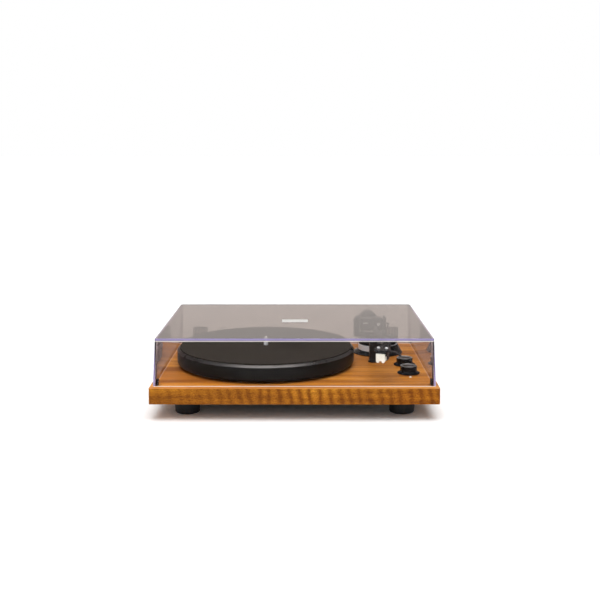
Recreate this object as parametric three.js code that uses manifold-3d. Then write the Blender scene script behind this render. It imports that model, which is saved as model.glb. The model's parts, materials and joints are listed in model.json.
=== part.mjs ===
// A belt-drive turntable record player: a veneered plinth on four rubber feet, a platter with its
// mat, spindle, belt and motor, a gimballed tonearm, two knobs and a hinged clear dust cover.
// Millimetres. X runs to the right, Y to the back, Z up. The origin is on the floor, under the middle.

import * as THREE from "three";
import { mergeVertices } from "three/addons/utils/BufferGeometryUtils.js";
import Module from "manifold-3d";

const wasm = await Module();
wasm.setup();

// ---- driving dimensions ----
const GAP = 0.3; // between two pieces that touch
const ROUND_LARGE = 64; // sides of a platter-sized circle
const ROUND_MEDIUM = 32;
const ROUND_SMALL = 16;

const OBJECT_DEPTH = 355; // plinth front to the ends of the rear jacks
const BACK_Y = OBJECT_DEPTH / 2;
const FRONT_Y = -BACK_Y;

const PLINTH_WIDTH = 440;
const PLINTH_DEPTH = 345;
const PLINTH_HEIGHT = 24;
const PLINTH_CORNER = 3;
const PLINTH_WALL = 18;
const PLINTH_SKIN = 7; // thickness of the deck
const PLINTH_MID_Y = FRONT_Y + PLINTH_DEPTH / 2;
const PLINTH_BACK_Y = FRONT_Y + PLINTH_DEPTH;

const FOOT_RADIUS = 20;
const FOOT_HEIGHT = 26;
const FOOT_X = 167.5;
const FOOT_Y = 118.5; // from the middle of the plinth
const DECK = FOOT_HEIGHT + PLINTH_HEIGHT; // height of the deck's upper face
const UNDERSIDE = DECK - PLINTH_SKIN; // the deck's lower face, inside the plinth
const BOTTOM_COVER_THICKNESS = 3;
const BOARD_X = -30; // amplifier board, over the bottom cover
const BOARD_Y = 95;
const BOARD_WIDTH = 100;
const BOARD_DEPTH = 70;
const BOARD_LOW = FOOT_HEIGHT + GAP + BOTTOM_COVER_THICKNESS + 3;
const BOARD_POST_INSET = 6;

const PLATTER_X = -49;
const PLATTER_Y = -4.5;
const PLATTER_RADIUS = 148;
const PLATTER_TOP_RADIUS = 144;
const PLATTER_LOW = DECK + 3.4;
const PLATTER_SHOULDER = DECK + 25.5;
const PLATTER_TOP = DECK + 29.5;
const PLATTER_WALL = 7;
const PLATTER_WEB = 5;
const HUB_RADIUS = 12;
const MAT_RADIUS = 143.5;
const MAT_THICKNESS = 1.2;
const DRIVE_RING_OUTER = 96;
const DRIVE_RING_INNER = 92;
const DRIVE_RING_LOW = DECK + 8;
const SPINDLE_RADIUS = 3.6;
const SPINDLE_TOP = DECK + 44.3;
const SPINDLE_LOW = DECK - 16;
const BEARING_RADIUS = 7;
const BEARING_FLANGE = 14;
const BEARING_TOP = DECK + 7;
const FLANGE_TOP = DECK + 2.5;

const MOTOR_DISTANCE = 118; // motor axis from the platter axis
const MOTOR_ANGLE = THREE.MathUtils.degToRad(150);
const MOTOR_RADIUS = 17;
const MOTOR_X = PLATTER_X + MOTOR_DISTANCE * Math.cos(MOTOR_ANGLE);
const MOTOR_Y = PLATTER_Y + MOTOR_DISTANCE * Math.sin(MOTOR_ANGLE);
const MOTOR_LOW = DECK - 20;
const MOTOR_TOP = DECK + 1.8;
const MOTOR_FLANGE_RADIUS = 22;
const MOTOR_SHAFT_RADIUS = 1.5;
const PULLEY_RADIUS = 5.5;
const PULLEY_LOW = DECK + 5;
const PULLEY_TOP = DECK + 16;
const BELT_LOW = DECK + 9.5;
const BELT_TOP = DECK + 13.5;
const BELT_THICKNESS = 1;

const KNOB_X = 183;
const VOLUME_Y = -20;
const SELECTOR_Y = -78.5;
const KNOB_RADIUS = 13.4;
const KNOB_SKIRT = 18;
const KNOB_TOP = DECK + 13;
const KNOB_SHAFT_RADIUS = 3;
const KNOB_SHAFT_TOP = DECK + 9.5;
const LED_Y = -104.5;
const LED_RADIUS = 2;
const LED_LOW = DECK - 9;
const CONTROL_LOW = DECK - 18; // underside of the units that the knobs turn
const KNOB_SHAFT_LOW = DECK - 16;

const COVER_WIDTH = 430; // at its lower edge
const COVER_DEPTH = 322;
const COVER_MID_Y = -8.5;
const COVER_LOW = DECK + 1;
const COVER_TOP = DECK + 74;
const COVER_WALL = 3.2;
const COVER_CORNER = 5;
const COVER_LEAN_X = 3.2; // how far a side wall leans in, over its height
const COVER_LEAN_Y = 3;
const BADGE_WIDTH = 43;
const BADGE_DEPTH = 24;
const BADGE_Y = -19.5;
const BADGE_RECESS = 0.6;
const BUMPER_Y = -155;
const HINGE_X = 176.5;
const HINGE_WIDTH = 27;
const HINGE_Y = 169;
const HINGE_Z = DECK + 7;
const HINGE_KNUCKLE = 5;
const HINGE_PIN = 1.6;
const KNUCKLE_WIDTH = 13;
const LEAF_THICKNESS = 4.5;
const HINGE_BACK_THICKNESS = 3.2;

const PIVOT_X = 135;
const PIVOT_Y = 80.5;
const PIVOT_Z = DECK + 48;
const ARM_YAW = THREE.MathUtils.degToRad(3.27); // parked arm, towards the right
const ARM_LENGTH = 186; // pivot to the bend at the headshell
const ARM_RADIUS = 4.5;
const HEADSHELL_OFFSET = THREE.MathUtils.degToRad(22);
const STYLUS_REACH = 36; // bend to stylus tip
const BASE_X = 146;
const SKIRT_RADIUS = 44;
const RING_RADIUS = 34;
const SKIRT_TOP = DECK + 6;
const SHOULDER_START = 4; // the shoulder's left end, from the middle of the base
const RING_TOP = DECK + 16;
const BASE_TOP = DECK + 22;
const PILLAR_RADIUS = 9;
const YOKE_LEFT = 31; // outer face of the thick left cheek, from the pivot
const YOKE_RIGHT = 25;
const YOKE_SLOT = 22; // half of the opening between the cheeks
const YOKE_DEPTH = 18;
const YOKE_LOW = -21; // heights on the arm are counted from the pivot
const YOKE_HIGH = 14;
const YOKE_FLOOR = 5;
const BLOCK_HALF = 20.5;
const BLOCK_DEPTH = 19;
const BLOCK_HEIGHT = 22;
const BEARING_PIN = 2;
const YOKE_SPINDLE = 3;
const STUB_RADIUS = 3;
const STUB_END = 60;
const DIAL_FRONT = 26;
const DIAL_REAR = 31;
const WEIGHT_RADIUS = 16;
const WEIGHT_FRONT = 31.3;
const WEIGHT_REAR = 57;
const WEIGHT_RECESS = 14.5; // hollow in its rear face, which sets the arm's balance
const WEIGHT_RECESS_RADIUS = 12;

const LIFT_RADIUS = 26; // arc bar, round the arm's vertical axis
const LIFT_TRAVEL = 5.2;
const LIFT_TOP = PIVOT_Z - ARM_RADIUS - GAP - LIFT_TRAVEL;
const PISTON_X = PIVOT_X - 2;
const PISTON_Y = PIVOT_Y - 23.5;
const PISTON_RADIUS = 2.5;
const LEVER_X = 170;
const LEVER_Y = 66;
const LEVER_Z = DECK + 26.5;
const LEVER_HALF = 2.6;
const LEVER_PIN = 1.3;
const REST_REACH = 78; // armrest, from the pivot
const REST_X = PIVOT_X + REST_REACH * Math.sin(ARM_YAW);
const REST_Y = PIVOT_Y - REST_REACH * Math.cos(ARM_YAW);
const REST_WIDTH = 12; // its post, which stands a little to the left of the arm
const REST_OFFSET = 7.5;
const CLIP_X = 9.5; // clip hinge, from the arm's middle
const CLIP_Z = PIVOT_Z + 1;
const CLIP_OPEN = THREE.MathUtils.degToRad(105);
const SKATE_X = 168;
const SKATE_Y = 94;
const SKATE_RADIUS = 6.5;

const PLATE_LOW = 1; // headshell plate, above the tube's middle
const PLATE_HIGH = 4;
const SCREW_REACH = 30; // from the bend to the two cartridge screws
const SCREW_SPACING = 12.7;
const CARTRIDGE_TOP = PLATE_LOW - GAP;
const STYLUS_LOW = -15.3;

const JACK_Z = DECK - 13.5; // height of the sockets on the back
const PANEL_MID_X = -45;
const PANEL_WIDTH = 146;
const PANEL_THICKNESS = 1.8;
const PANEL_FACE = PLINTH_BACK_Y + 2 * GAP + PANEL_THICKNESS; // where a flange on the panel starts
const SOCKET_FRONT = PLINTH_BACK_Y - 10; // how far a socket reaches into the plinth
const JACKS = [-104, -88];
const JACK_RADIUS = 4.4;
const TERMINAL_X = -45;
const TERMINAL_WIDTH = 44;
const TERMINAL_PITCH = 10.5;
const INLET_X = 12;
const INLET_RADIUS = 4.6;

// ---- materials ----
const finish = (color, roughness, metalness = 0) =>
  new THREE.MeshStandardMaterial({ color, roughness, metalness });
const wood = finish(0xa8672e, 0.5);
const rubber = finish(0x161616, 0.85);
const blackPlastic = finish(0x1b1a1a, 0.45);
const glossBlack = finish(0x101012, 0.2);
const blackMetal = finish(0x202022, 0.4, 0.6);
const aluminium = finish(0xc9c9c6, 0.3, 0.9);
const steel = finish(0xb9bbbd, 0.25, 1);
const brass = finish(0xb08d4a, 0.35, 1);
const felt = finish(0x3a332e, 0.95);
const ivory = finish(0xf2efe4, 0.4);
const greenBoard = finish(0x1f5a3a, 0.6);
const redPlastic = finish(0xb0302a, 0.4);
const lens = finish(0xe8e4d8, 0.2);
const clear = new THREE.MeshStandardMaterial({
  color: 0xb9b0aa,
  roughness: 0.05,
  transparent: true,
  opacity: 0.35,
});

// ---- helpers ----
// A closed geometry as a manifold solid, with only its merged positions.
function toSolid(geometry) {
  const bare = geometry.index ? geometry.toNonIndexed() : geometry.clone();
  bare.deleteAttribute("normal");
  bare.deleteAttribute("uv");
  const merged = mergeVertices(bare, 1e-4);
  return new wasm.Manifold(
    new wasm.Mesh({
      numProp: 3,
      vertProperties: merged.attributes.position.array,
      triVerts: new Uint32Array(merged.index.array),
    }),
  );
}

// A manifold solid as a geometry with flat faces.
function toGeometry(solid) {
  const raw = solid.getMesh();
  const indexed = new THREE.BufferGeometry();
  indexed.setAttribute("position", new THREE.BufferAttribute(raw.vertProperties, 3));
  indexed.setIndex(new THREE.BufferAttribute(raw.triVerts, 1));
  const flat = indexed.toNonIndexed();
  flat.computeVertexNormals();
  return flat;
}

function cut(body, ...tools) {
  return toGeometry(tools.reduce((left, tool) => left.subtract(toSolid(tool)), toSolid(body)));
}

function join(body, ...others) {
  return toGeometry(others.reduce((sum, other) => sum.add(toSolid(other)), toSolid(body)));
}

// A block from its middle in X and Y and its lowest and highest Z.
function block(width, depth, low, high, x = 0, y = 0) {
  return new THREE.BoxGeometry(width, depth, high - low).translate(x, y, (low + high) / 2);
}

// A round bar along Z.
function rod(radius, low, high, x = 0, y = 0, sides = ROUND_SMALL) {
  const bar = new THREE.CylinderGeometry(radius, radius, high - low, sides);
  return bar.rotateX(Math.PI / 2).translate(x, y, (low + high) / 2);
}

// A round bar along Y, from near to far.
function rodY(radius, near, far, x = 0, z = 0, sides = ROUND_SMALL) {
  const bar = new THREE.CylinderGeometry(radius, radius, far - near, sides);
  return bar.translate(0, (near + far) / 2, 0).translate(x, 0, z);
}

// A round bar along X.
function rodX(radius, left, right, y = 0, z = 0, sides = ROUND_SMALL) {
  const bar = new THREE.CylinderGeometry(radius, radius, right - left, sides);
  return bar.rotateZ(Math.PI / 2).translate((left + right) / 2, y, z);
}

// A turned piece: a profile of [radius, height] points spun about Z.
function turned(profile, x = 0, y = 0, sides = ROUND_MEDIUM) {
  const points = profile.map(([radius, height]) => new THREE.Vector2(radius, height));
  return new THREE.LatheGeometry(points, sides).rotateX(Math.PI / 2).translate(x, y, 0);
}

// A piece turned about an axis along Y: a profile of [radius, distance towards the back] points.
function turnedY(profile, x, z, sides = ROUND_SMALL) {
  const points = profile.map(([radius, along]) => new THREE.Vector2(radius, along));
  return new THREE.LatheGeometry(points, sides).translate(x, 0, z);
}

function roundedRectangle(width, depth, corner) {
  const x = width / 2;
  const y = depth / 2;
  const shape = new THREE.Shape();
  shape.moveTo(-x + corner, -y);
  shape.lineTo(x - corner, -y);
  shape.absarc(x - corner, -y + corner, corner, -Math.PI / 2, 0, false);
  shape.lineTo(x, y - corner);
  shape.absarc(x - corner, y - corner, corner, 0, Math.PI / 2, false);
  shape.lineTo(-x + corner, y);
  shape.absarc(-x + corner, y - corner, corner, Math.PI / 2, Math.PI, false);
  shape.lineTo(-x, -y + corner);
  shape.absarc(-x + corner, -y + corner, corner, Math.PI, 1.5 * Math.PI, false);
  return shape;
}

// An outline in X and Y given a thickness from low to high.
function plate(shape, low, high, curveSegments = 4) {
  const options = { depth: high - low, bevelEnabled: false, curveSegments };
  return new THREE.ExtrudeGeometry(shape, options).translate(0, 0, low);
}

// An outline in X and Z given a depth along Y, half to each side.
function upright(shape, depth, curveSegments = 4) {
  const options = { depth, bevelEnabled: false, curveSegments };
  return new THREE.ExtrudeGeometry(shape, options).rotateX(Math.PI / 2).translate(0, depth / 2, 0);
}

// An outline of straight lines through [x, y] points.
function outline(points) {
  return new THREE.Shape(points.map(([x, y]) => new THREE.Vector2(x, y)));
}

const group = new THREE.Group();

function add(name, geometry, material, parent = group) {
  const mesh = new THREE.Mesh(geometry, material.clone());
  mesh.name = name;
  parent.add(mesh);
  return mesh;
}

// ---- plinth, bottom and feet ----
function plinth() {
  const body = plate(roundedRectangle(PLINTH_WIDTH, PLINTH_DEPTH, PLINTH_CORNER), FOOT_HEIGHT, DECK);
  const hollowWidth = PLINTH_WIDTH - 2 * PLINTH_WALL;
  const hollowDepth = PLINTH_DEPTH - 2 * PLINTH_WALL;
  const hollow = plate(roundedRectangle(hollowWidth, hollowDepth, 4), FOOT_HEIGHT - 1, UNDERSIDE);
  const windowWidth = PANEL_WIDTH - 10;
  const windowY = PLINTH_BACK_Y - 8;
  const window = block(windowWidth, 30, FOOT_HEIGHT + 4.5, UNDERSIDE - 1, PANEL_MID_X, windowY);
  const through = (radius, x, y, sides) => rod(radius, UNDERSIDE - 1, DECK + 1, x, y, sides);
  body.translate(0, PLINTH_MID_Y, 0);
  hollow.translate(0, PLINTH_MID_Y, 0);
  return cut(
    body,
    hollow,
    window,
    through(BEARING_RADIUS + GAP, PLATTER_X, PLATTER_Y),
    through(MOTOR_RADIUS + 0.5, MOTOR_X, MOTOR_Y, ROUND_MEDIUM),
    through(KNOB_SHAFT_RADIUS + 0.5, KNOB_X, VOLUME_Y),
    through(KNOB_SHAFT_RADIUS + 0.5, KNOB_X, SELECTOR_Y),
    through(LED_RADIUS + GAP, KNOB_X, LED_Y),
    through(PILLAR_RADIUS + GAP, PIVOT_X, PIVOT_Y, ROUND_MEDIUM),
  );
}

// The bottom cover sits inside the plinth's walls and carries the circuit board on four posts.
function bottomCover() {
  const low = FOOT_HEIGHT + GAP;
  const high = low + BOTTOM_COVER_THICKNESS;
  const width = PLINTH_WIDTH - 2 * PLINTH_WALL - 2 * GAP;
  const depth = PLINTH_DEPTH - 2 * PLINTH_WALL - 2 * GAP;
  const sheet = plate(roundedRectangle(width, depth, 4), low, high).translate(0, PLINTH_MID_Y, 0);
  const posts = [];
  for (const side of [-1, 1]) {
    for (const end of [-1, 1]) {
      const x = BOARD_X + side * (BOARD_WIDTH / 2 - BOARD_POST_INSET);
      const y = BOARD_Y + end * (BOARD_DEPTH / 2 - BOARD_POST_INSET);
      posts.push(rod(2.5, high - 0.5, BOARD_LOW - GAP, x, y, 12));
    }
  }
  return join(sheet, ...posts);
}

function foot(x, y) {
  const profile = [
    [0, 0],
    [FOOT_RADIUS - 3, 0],
    [FOOT_RADIUS - 1, 1],
    [FOOT_RADIUS - 0.4, 4],
    [FOOT_RADIUS, 8],
    [FOOT_RADIUS, FOOT_HEIGHT - 1],
    [FOOT_RADIUS - 1, FOOT_HEIGHT],
    [0, FOOT_HEIGHT],
  ];
  return turned(profile, x, PLINTH_MID_Y + y, ROUND_MEDIUM - 8);
}

// ---- platter and its bearing ----
function platter() {
  const webLow = PLATTER_TOP - PLATTER_WEB;
  const inner = PLATTER_RADIUS - PLATTER_WALL;
  const profile = [
    [SPINDLE_RADIUS + GAP, DRIVE_RING_LOW],
    [HUB_RADIUS, DRIVE_RING_LOW],
    [HUB_RADIUS, webLow],
    [DRIVE_RING_INNER, webLow],
    [DRIVE_RING_INNER, DRIVE_RING_LOW],
    [DRIVE_RING_OUTER, DRIVE_RING_LOW],
    [DRIVE_RING_OUTER, webLow],
    [inner, webLow],
    [inner, PLATTER_LOW],
    [PLATTER_RADIUS - 5, PLATTER_LOW],
    [PLATTER_RADIUS - 2, PLATTER_LOW + 0.8],
    [PLATTER_RADIUS - 0.6, PLATTER_LOW + 2.4],
    [PLATTER_RADIUS, PLATTER_LOW + 5],
    [PLATTER_RADIUS, PLATTER_SHOULDER],
    [PLATTER_RADIUS - 1.2, PLATTER_SHOULDER + 2.4],
    [PLATTER_TOP_RADIUS, PLATTER_TOP],
    [SPINDLE_RADIUS + GAP, PLATTER_TOP],
    [SPINDLE_RADIUS + GAP, DRIVE_RING_LOW],
  ];
  return turned(profile, PLATTER_X, PLATTER_Y, ROUND_LARGE);
}

function slipMat() {
  const low = PLATTER_TOP + GAP;
  const profile = [
    [SPINDLE_RADIUS + GAP, low],
    [MAT_RADIUS, low],
    [MAT_RADIUS, low + MAT_THICKNESS],
    [SPINDLE_RADIUS + GAP, low + MAT_THICKNESS],
    [SPINDLE_RADIUS + GAP, low],
  ];
  return turned(profile, PLATTER_X, PLATTER_Y, ROUND_LARGE);
}

function spindle() {
  const profile = [
    [0, SPINDLE_LOW],
    [SPINDLE_RADIUS - 1, SPINDLE_LOW],
    [SPINDLE_RADIUS, SPINDLE_LOW + 1],
    [SPINDLE_RADIUS, SPINDLE_TOP - 4],
    [SPINDLE_RADIUS - 0.8, SPINDLE_TOP - 1.5],
    [SPINDLE_RADIUS - 2, SPINDLE_TOP - 0.3],
    [0, SPINDLE_TOP],
  ];
  return turned(profile, PLATTER_X, PLATTER_Y, ROUND_SMALL);
}

// A bush with a closed lower end, screwed down through its flange.
function bearingHousing() {
  const bore = SPINDLE_RADIUS + GAP;
  const profile = [
    [0, SPINDLE_LOW - 3],
    [BEARING_RADIUS, SPINDLE_LOW - 3],
    [BEARING_RADIUS, DECK + GAP],
    [BEARING_FLANGE, DECK + GAP],
    [BEARING_FLANGE, FLANGE_TOP],
    [BEARING_RADIUS, FLANGE_TOP],
    [BEARING_RADIUS, BEARING_TOP],
    [bore, BEARING_TOP],
    [bore, SPINDLE_LOW - GAP],
    [0, SPINDLE_LOW - GAP],
  ];
  return turned(profile, PLATTER_X, PLATTER_Y, ROUND_SMALL);
}

// ---- motor, pulley and belt ----
// The motor hangs in a hole in the deck by the flange round its upper end.
function motorCan() {
  const can = rod(MOTOR_RADIUS, MOTOR_LOW, MOTOR_TOP, MOTOR_X, MOTOR_Y, ROUND_MEDIUM);
  const flange = rod(MOTOR_FLANGE_RADIUS, DECK + GAP, MOTOR_TOP, MOTOR_X, MOTOR_Y, ROUND_MEDIUM);
  const bore = rod(MOTOR_SHAFT_RADIUS + GAP, MOTOR_LOW + 8, MOTOR_TOP + 1, MOTOR_X, MOTOR_Y, 12);
  return cut(join(can, flange), bore);
}

function motorShaft() {
  return rod(MOTOR_SHAFT_RADIUS, MOTOR_LOW + 8.5, PULLEY_TOP - 2, MOTOR_X, MOTOR_Y, 12);
}

function motorPulley() {
  const profile = [
    [MOTOR_SHAFT_RADIUS + GAP, PULLEY_LOW],
    [PULLEY_RADIUS + 1.8, PULLEY_LOW],
    [PULLEY_RADIUS + 1.8, PULLEY_LOW + 1.2],
    [PULLEY_RADIUS, PULLEY_LOW + 2.4],
    [PULLEY_RADIUS, PULLEY_TOP - 1.8],
    [PULLEY_RADIUS + 1.2, PULLEY_TOP - 1],
    [PULLEY_RADIUS + 1.2, PULLEY_TOP],
    [MOTOR_SHAFT_RADIUS + GAP, PULLEY_TOP],
    [MOTOR_SHAFT_RADIUS + GAP, PULLEY_LOW],
  ];
  return turned(profile, MOTOR_X, MOTOR_Y, ROUND_SMALL + 4);
}

// The path of the belt, at a distance from the ring's and the pulley's faces.
function beltPath(Path, offset) {
  const ring = DRIVE_RING_OUTER + offset;
  const pulley = PULLEY_RADIUS + offset;
  const half = Math.acos((ring - pulley) / MOTOR_DISTANCE);
  const path = new Path();
  path.absarc(PLATTER_X, PLATTER_Y, ring, MOTOR_ANGLE + half, MOTOR_ANGLE - half + 2 * Math.PI, false);
  path.absarc(MOTOR_X, MOTOR_Y, pulley, MOTOR_ANGLE - half, MOTOR_ANGLE + half, false);
  path.closePath();
  return path;
}

function driveBelt() {
  const shape = beltPath(THREE.Shape, GAP + BELT_THICKNESS);
  shape.holes.push(beltPath(THREE.Path, GAP));
  return plate(shape, BELT_LOW, BELT_TOP, 20);
}

// ---- knobs and what they turn ----
function knob(y) {
  const profile = [
    [0, DECK + 0.6],
    [KNOB_SKIRT, DECK + 0.6],
    [KNOB_SKIRT, DECK + 2.2],
    [KNOB_SKIRT - 2, DECK + 3.2],
    [KNOB_RADIUS + 0.6, DECK + 4.6],
    [KNOB_RADIUS, KNOB_TOP - 1.6],
    [KNOB_RADIUS - 1.2, KNOB_TOP],
    [0, KNOB_TOP],
  ];
  const bore = rod(KNOB_SHAFT_RADIUS + GAP, DECK - 1, KNOB_SHAFT_TOP + GAP, KNOB_X, y);
  const mark = block(1.4, 8, KNOB_TOP - 0.6, KNOB_TOP + 1, KNOB_X, y - KNOB_RADIUS + 3);
  return cut(turned(profile, KNOB_X, y), bore, mark);
}

function knobShaft(y) {
  return rod(KNOB_SHAFT_RADIUS, KNOB_SHAFT_LOW, KNOB_SHAFT_TOP, KNOB_X, y, ROUND_SMALL);
}

function turningControl(width, high, y) {
  const body = block(width, width, CONTROL_LOW, high, KNOB_X, y);
  return cut(body, rod(KNOB_SHAFT_RADIUS + GAP, KNOB_SHAFT_LOW - GAP, DECK, KNOB_X, y));
}

function powerLens() {
  const profile = [
    [0, LED_LOW],
    [LED_RADIUS, LED_LOW],
    [LED_RADIUS, DECK + 0.4],
    [LED_RADIUS * 0.7, DECK + 1],
    [0, DECK + 1.2],
  ];
  return turned(profile, KNOB_X, LED_Y, 16);
}

// ---- dust cover ----
// A block with the cover's lean, inset all round.
function coverBlock(inset, low, high) {
  const corner = COVER_CORNER - inset * 0.8;
  const shape = roundedRectangle(COVER_WIDTH - 2 * inset, COVER_DEPTH - 2 * inset, corner);
  const solid = plate(shape, low, high);
  const position = solid.attributes.position;
  const height = COVER_TOP - COVER_LOW;
  for (let i = 0; i < position.count; i += 1) {
    const part = (position.getZ(i) - COVER_LOW) / height;
    const x = position.getX(i) * (1 - (part * COVER_LEAN_X) / (COVER_WIDTH / 2));
    const y = position.getY(i) * (1 - (part * COVER_LEAN_Y) / (COVER_DEPTH / 2));
    position.setXY(i, x, y + COVER_MID_Y);
  }
  return solid;
}

function dustCover() {
  const recessWidth = BADGE_WIDTH + 2 * GAP;
  const recessDepth = BADGE_DEPTH + 2 * GAP;
  const recess = block(recessWidth, recessDepth, COVER_TOP - BADGE_RECESS, COVER_TOP + 1, 0, BADGE_Y);
  const inside = coverBlock(COVER_WALL, COVER_LOW - 1, COVER_TOP - COVER_WALL);
  return cut(coverBlock(0, COVER_LOW, COVER_TOP), inside, recess);
}

function coverBadge() {
  const shape = roundedRectangle(BADGE_WIDTH, BADGE_DEPTH, 1.5);
  return plate(shape, COVER_TOP - GAP, COVER_TOP + 0.3, 3).translate(0, BADGE_Y, 0);
}

function coverBumper(side) {
  const x = side * (COVER_WIDTH / 2 - COVER_WALL - 2.6);
  return block(3.4, 10, COVER_LOW - 0.5, COVER_LOW + 8.5, x, BUMPER_Y);
}

// The leaf is fixed to the cover's back wall and ends in a knuckle between the base's two lugs.
function hingeLeaf(side) {
  const x = side * HINGE_X;
  const wallY = COVER_MID_Y + COVER_DEPTH / 2 + GAP;
  const pad = block(HINGE_WIDTH, LEAF_THICKNESS, DECK + 4, DECK + 28, x, wallY + LEAF_THICKNESS / 2);
  const armY = (HINGE_Y + wallY + 1) / 2;
  const arm = block(KNUCKLE_WIDTH, HINGE_Y - wallY - 1, HINGE_Z - 3, HINGE_Z + 3, x, armY);
  const half = KNUCKLE_WIDTH / 2;
  const knuckle = rodX(HINGE_KNUCKLE, x - half, x + half, HINGE_Y, HINGE_Z);
  const bore = rodX(HINGE_PIN + GAP, x - half - 1, x + half + 1, HINGE_Y, HINGE_Z, 12);
  return cut(join(pad, arm, knuckle), bore);
}

function hingeBase(side) {
  const x = side * HINGE_X;
  const half = HINGE_WIDTH / 2;
  const inner = KNUCKLE_WIDTH / 2 + GAP;
  const backY = PLINTH_BACK_Y + GAP;
  const plateY = backY + HINGE_BACK_THICKNESS / 2;
  const back = block(HINGE_WIDTH, HINGE_BACK_THICKNESS, FOOT_HEIGHT + 2, DECK - 0.6, x, plateY);
  const lugs = [-1, 1].map((end) => {
    const from = x + Math.min(end * half, end * inner);
    const to = x + Math.max(end * half, end * inner);
    const round = rodX(HINGE_KNUCKLE, from, to, HINGE_Y, HINGE_Z);
    const depth = HINGE_Y + HINGE_KNUCKLE - backY;
    const stem = block(to - from, depth, DECK - 4, HINGE_Z, (from + to) / 2, backY + depth / 2);
    return join(round, stem);
  });
  const bore = rodX(HINGE_PIN + GAP, x - half - 1, x + half + 1, HINGE_Y, HINGE_Z, 12);
  return cut(join(back, ...lugs), bore);
}

function hingePin(side) {
  const half = HINGE_WIDTH / 2 + 0.8;
  return rodX(HINGE_PIN, side * HINGE_X - half, side * HINGE_X + half, HINGE_Y, HINGE_Z, 12);
}

// ---- tonearm base ----
function pillarHole(radius = PILLAR_RADIUS + GAP) {
  return rod(radius, DECK - 20, DECK + 40, PIVOT_X, PIVOT_Y, ROUND_MEDIUM);
}

// The skirt flares out below the ring. On the right it rises outside the ring as a shoulder.
function armBaseSkirt() {
  const profile = [
    [0, DECK + GAP],
    [SKIRT_RADIUS, DECK + GAP],
    [SKIRT_RADIUS, DECK + 1.6],
    [SKIRT_RADIUS - 5, DECK + 3],
    [RING_RADIUS + 2, DECK + 4.6],
    [RING_RADIUS, SKIRT_TOP],
    [0, SKIRT_TOP],
  ];
  const inner = RING_RADIUS + GAP;
  const outer = SKIRT_RADIUS - 1;
  const shoulderProfile = [
    [inner, DECK + 1],
    [outer, DECK + 1],
    [outer, DECK + 2.2],
    [inner + 1, RING_TOP],
    [inner, RING_TOP],
    [inner, DECK + 1],
  ];
  const leftX = BASE_X + SHOULDER_START - SKIRT_RADIUS;
  const leftHalf = block(2 * SKIRT_RADIUS, 3 * SKIRT_RADIUS, DECK, RING_TOP + 1, leftX, PIVOT_Y);
  const shoulder = cut(turned(shoulderProfile, BASE_X, PIVOT_Y, ROUND_MEDIUM + 8), leftHalf);
  const flare = turned(profile, BASE_X, PIVOT_Y, ROUND_MEDIUM + 8);
  return cut(join(flare, shoulder), pillarHole());
}

function armBaseRing() {
  const low = SKIRT_TOP + GAP;
  const high = RING_TOP;
  const inner = RING_RADIUS - 3;
  const profile = [
    [inner, low],
    [RING_RADIUS - 0.6, low],
    [RING_RADIUS, low + 0.6],
    [RING_RADIUS, high - 0.6],
    [RING_RADIUS - 0.6, high],
    [inner, high],
    [inner, low],
  ];
  return turned(profile, BASE_X, PIVOT_Y, ROUND_MEDIUM + 8);
}

// The top plate carries the lift's guide and the two lugs of the cue lever.
function armBaseTop() {
  const low = RING_TOP + GAP;
  const edge = RING_RADIUS - 0.5;
  const profile = [
    [0, low],
    [edge, low],
    [edge, BASE_TOP - 1.2],
    [edge - 1.2, BASE_TOP],
    [0, BASE_TOP],
  ];
  const disc = turned(profile, BASE_X, PIVOT_Y, ROUND_MEDIUM + 8);
  const guide = rod(PISTON_RADIUS + 2.3, BASE_TOP - 1, BASE_TOP + 4, PISTON_X, PISTON_Y);
  const lugs = [-1, 1].map((side) => {
    const x = LEVER_X + side * (LEVER_HALF + GAP + 1.2);
    const cheek = block(2.4, 7, BASE_TOP - 1, LEVER_Z, x, LEVER_Y);
    return join(cheek, rodX(3.5, x - 1.2, x + 1.2, LEVER_Y, LEVER_Z));
  });
  return cut(
    join(disc, guide, ...lugs),
    pillarHole(),
    rod(PISTON_RADIUS + GAP, DECK, DECK + 40, PISTON_X, PISTON_Y),
    rodX(LEVER_PIN + GAP, LEVER_X - 10, LEVER_X + 10, LEVER_Y, LEVER_Z, 12),
  );
}

function armPillar() {
  const high = DECK + 26;
  const profile = [
    [0, DECK - 12],
    [PILLAR_RADIUS, DECK - 12],
    [PILLAR_RADIUS, high - 1],
    [PILLAR_RADIUS - 1, high],
    [YOKE_SPINDLE + GAP, high],
    [YOKE_SPINDLE + GAP, DECK - 10],
    [0, DECK - 10],
  ];
  return turned(profile, PIVOT_X, PIVOT_Y, ROUND_MEDIUM);
}

function pillarNut() {
  const nut = rod(14, DECK - 11.5, UNDERSIDE - GAP, PIVOT_X, PIVOT_Y, 6);
  return cut(nut, pillarHole());
}

// The armrest: a post, a saddle that reaches right under the arm and a horn that carries the clip.
function armrestPost(parent) {
  const low = DECK + GAP;
  const saddleTop = PIVOT_Z - ARM_RADIUS - GAP;
  const flange = rod(REST_WIDTH * 0.7, low, low + 2, -REST_OFFSET, 0, ROUND_SMALL + 4);
  const stem = block(REST_WIDTH, 9, low, saddleTop - 3, -REST_OFFSET);
  const saddleLeft = -REST_OFFSET - REST_WIDTH / 2;
  const saddleRight = CLIP_X + 1.6;
  const saddleWidth = saddleRight - saddleLeft;
  const saddle = block(saddleWidth, 9, saddleTop - 5, saddleTop, (saddleLeft + saddleRight) / 2);
  const horn = block(3.2, 9, saddleTop - 5, CLIP_Z, CLIP_X);
  const round = rodY(1.6, -4.5, 4.5, CLIP_X, CLIP_Z, 12);
  const slot = block(4, 4.2, CLIP_Z - 2.4, CLIP_Z + 4, CLIP_X);
  const bore = rodY(0.9, -6, 6, CLIP_X, CLIP_Z, 10);
  const post = cut(join(flange, stem, saddle, horn, round), slot, bore);
  add("armrest_post", post, blackPlastic, parent);
}

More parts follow.
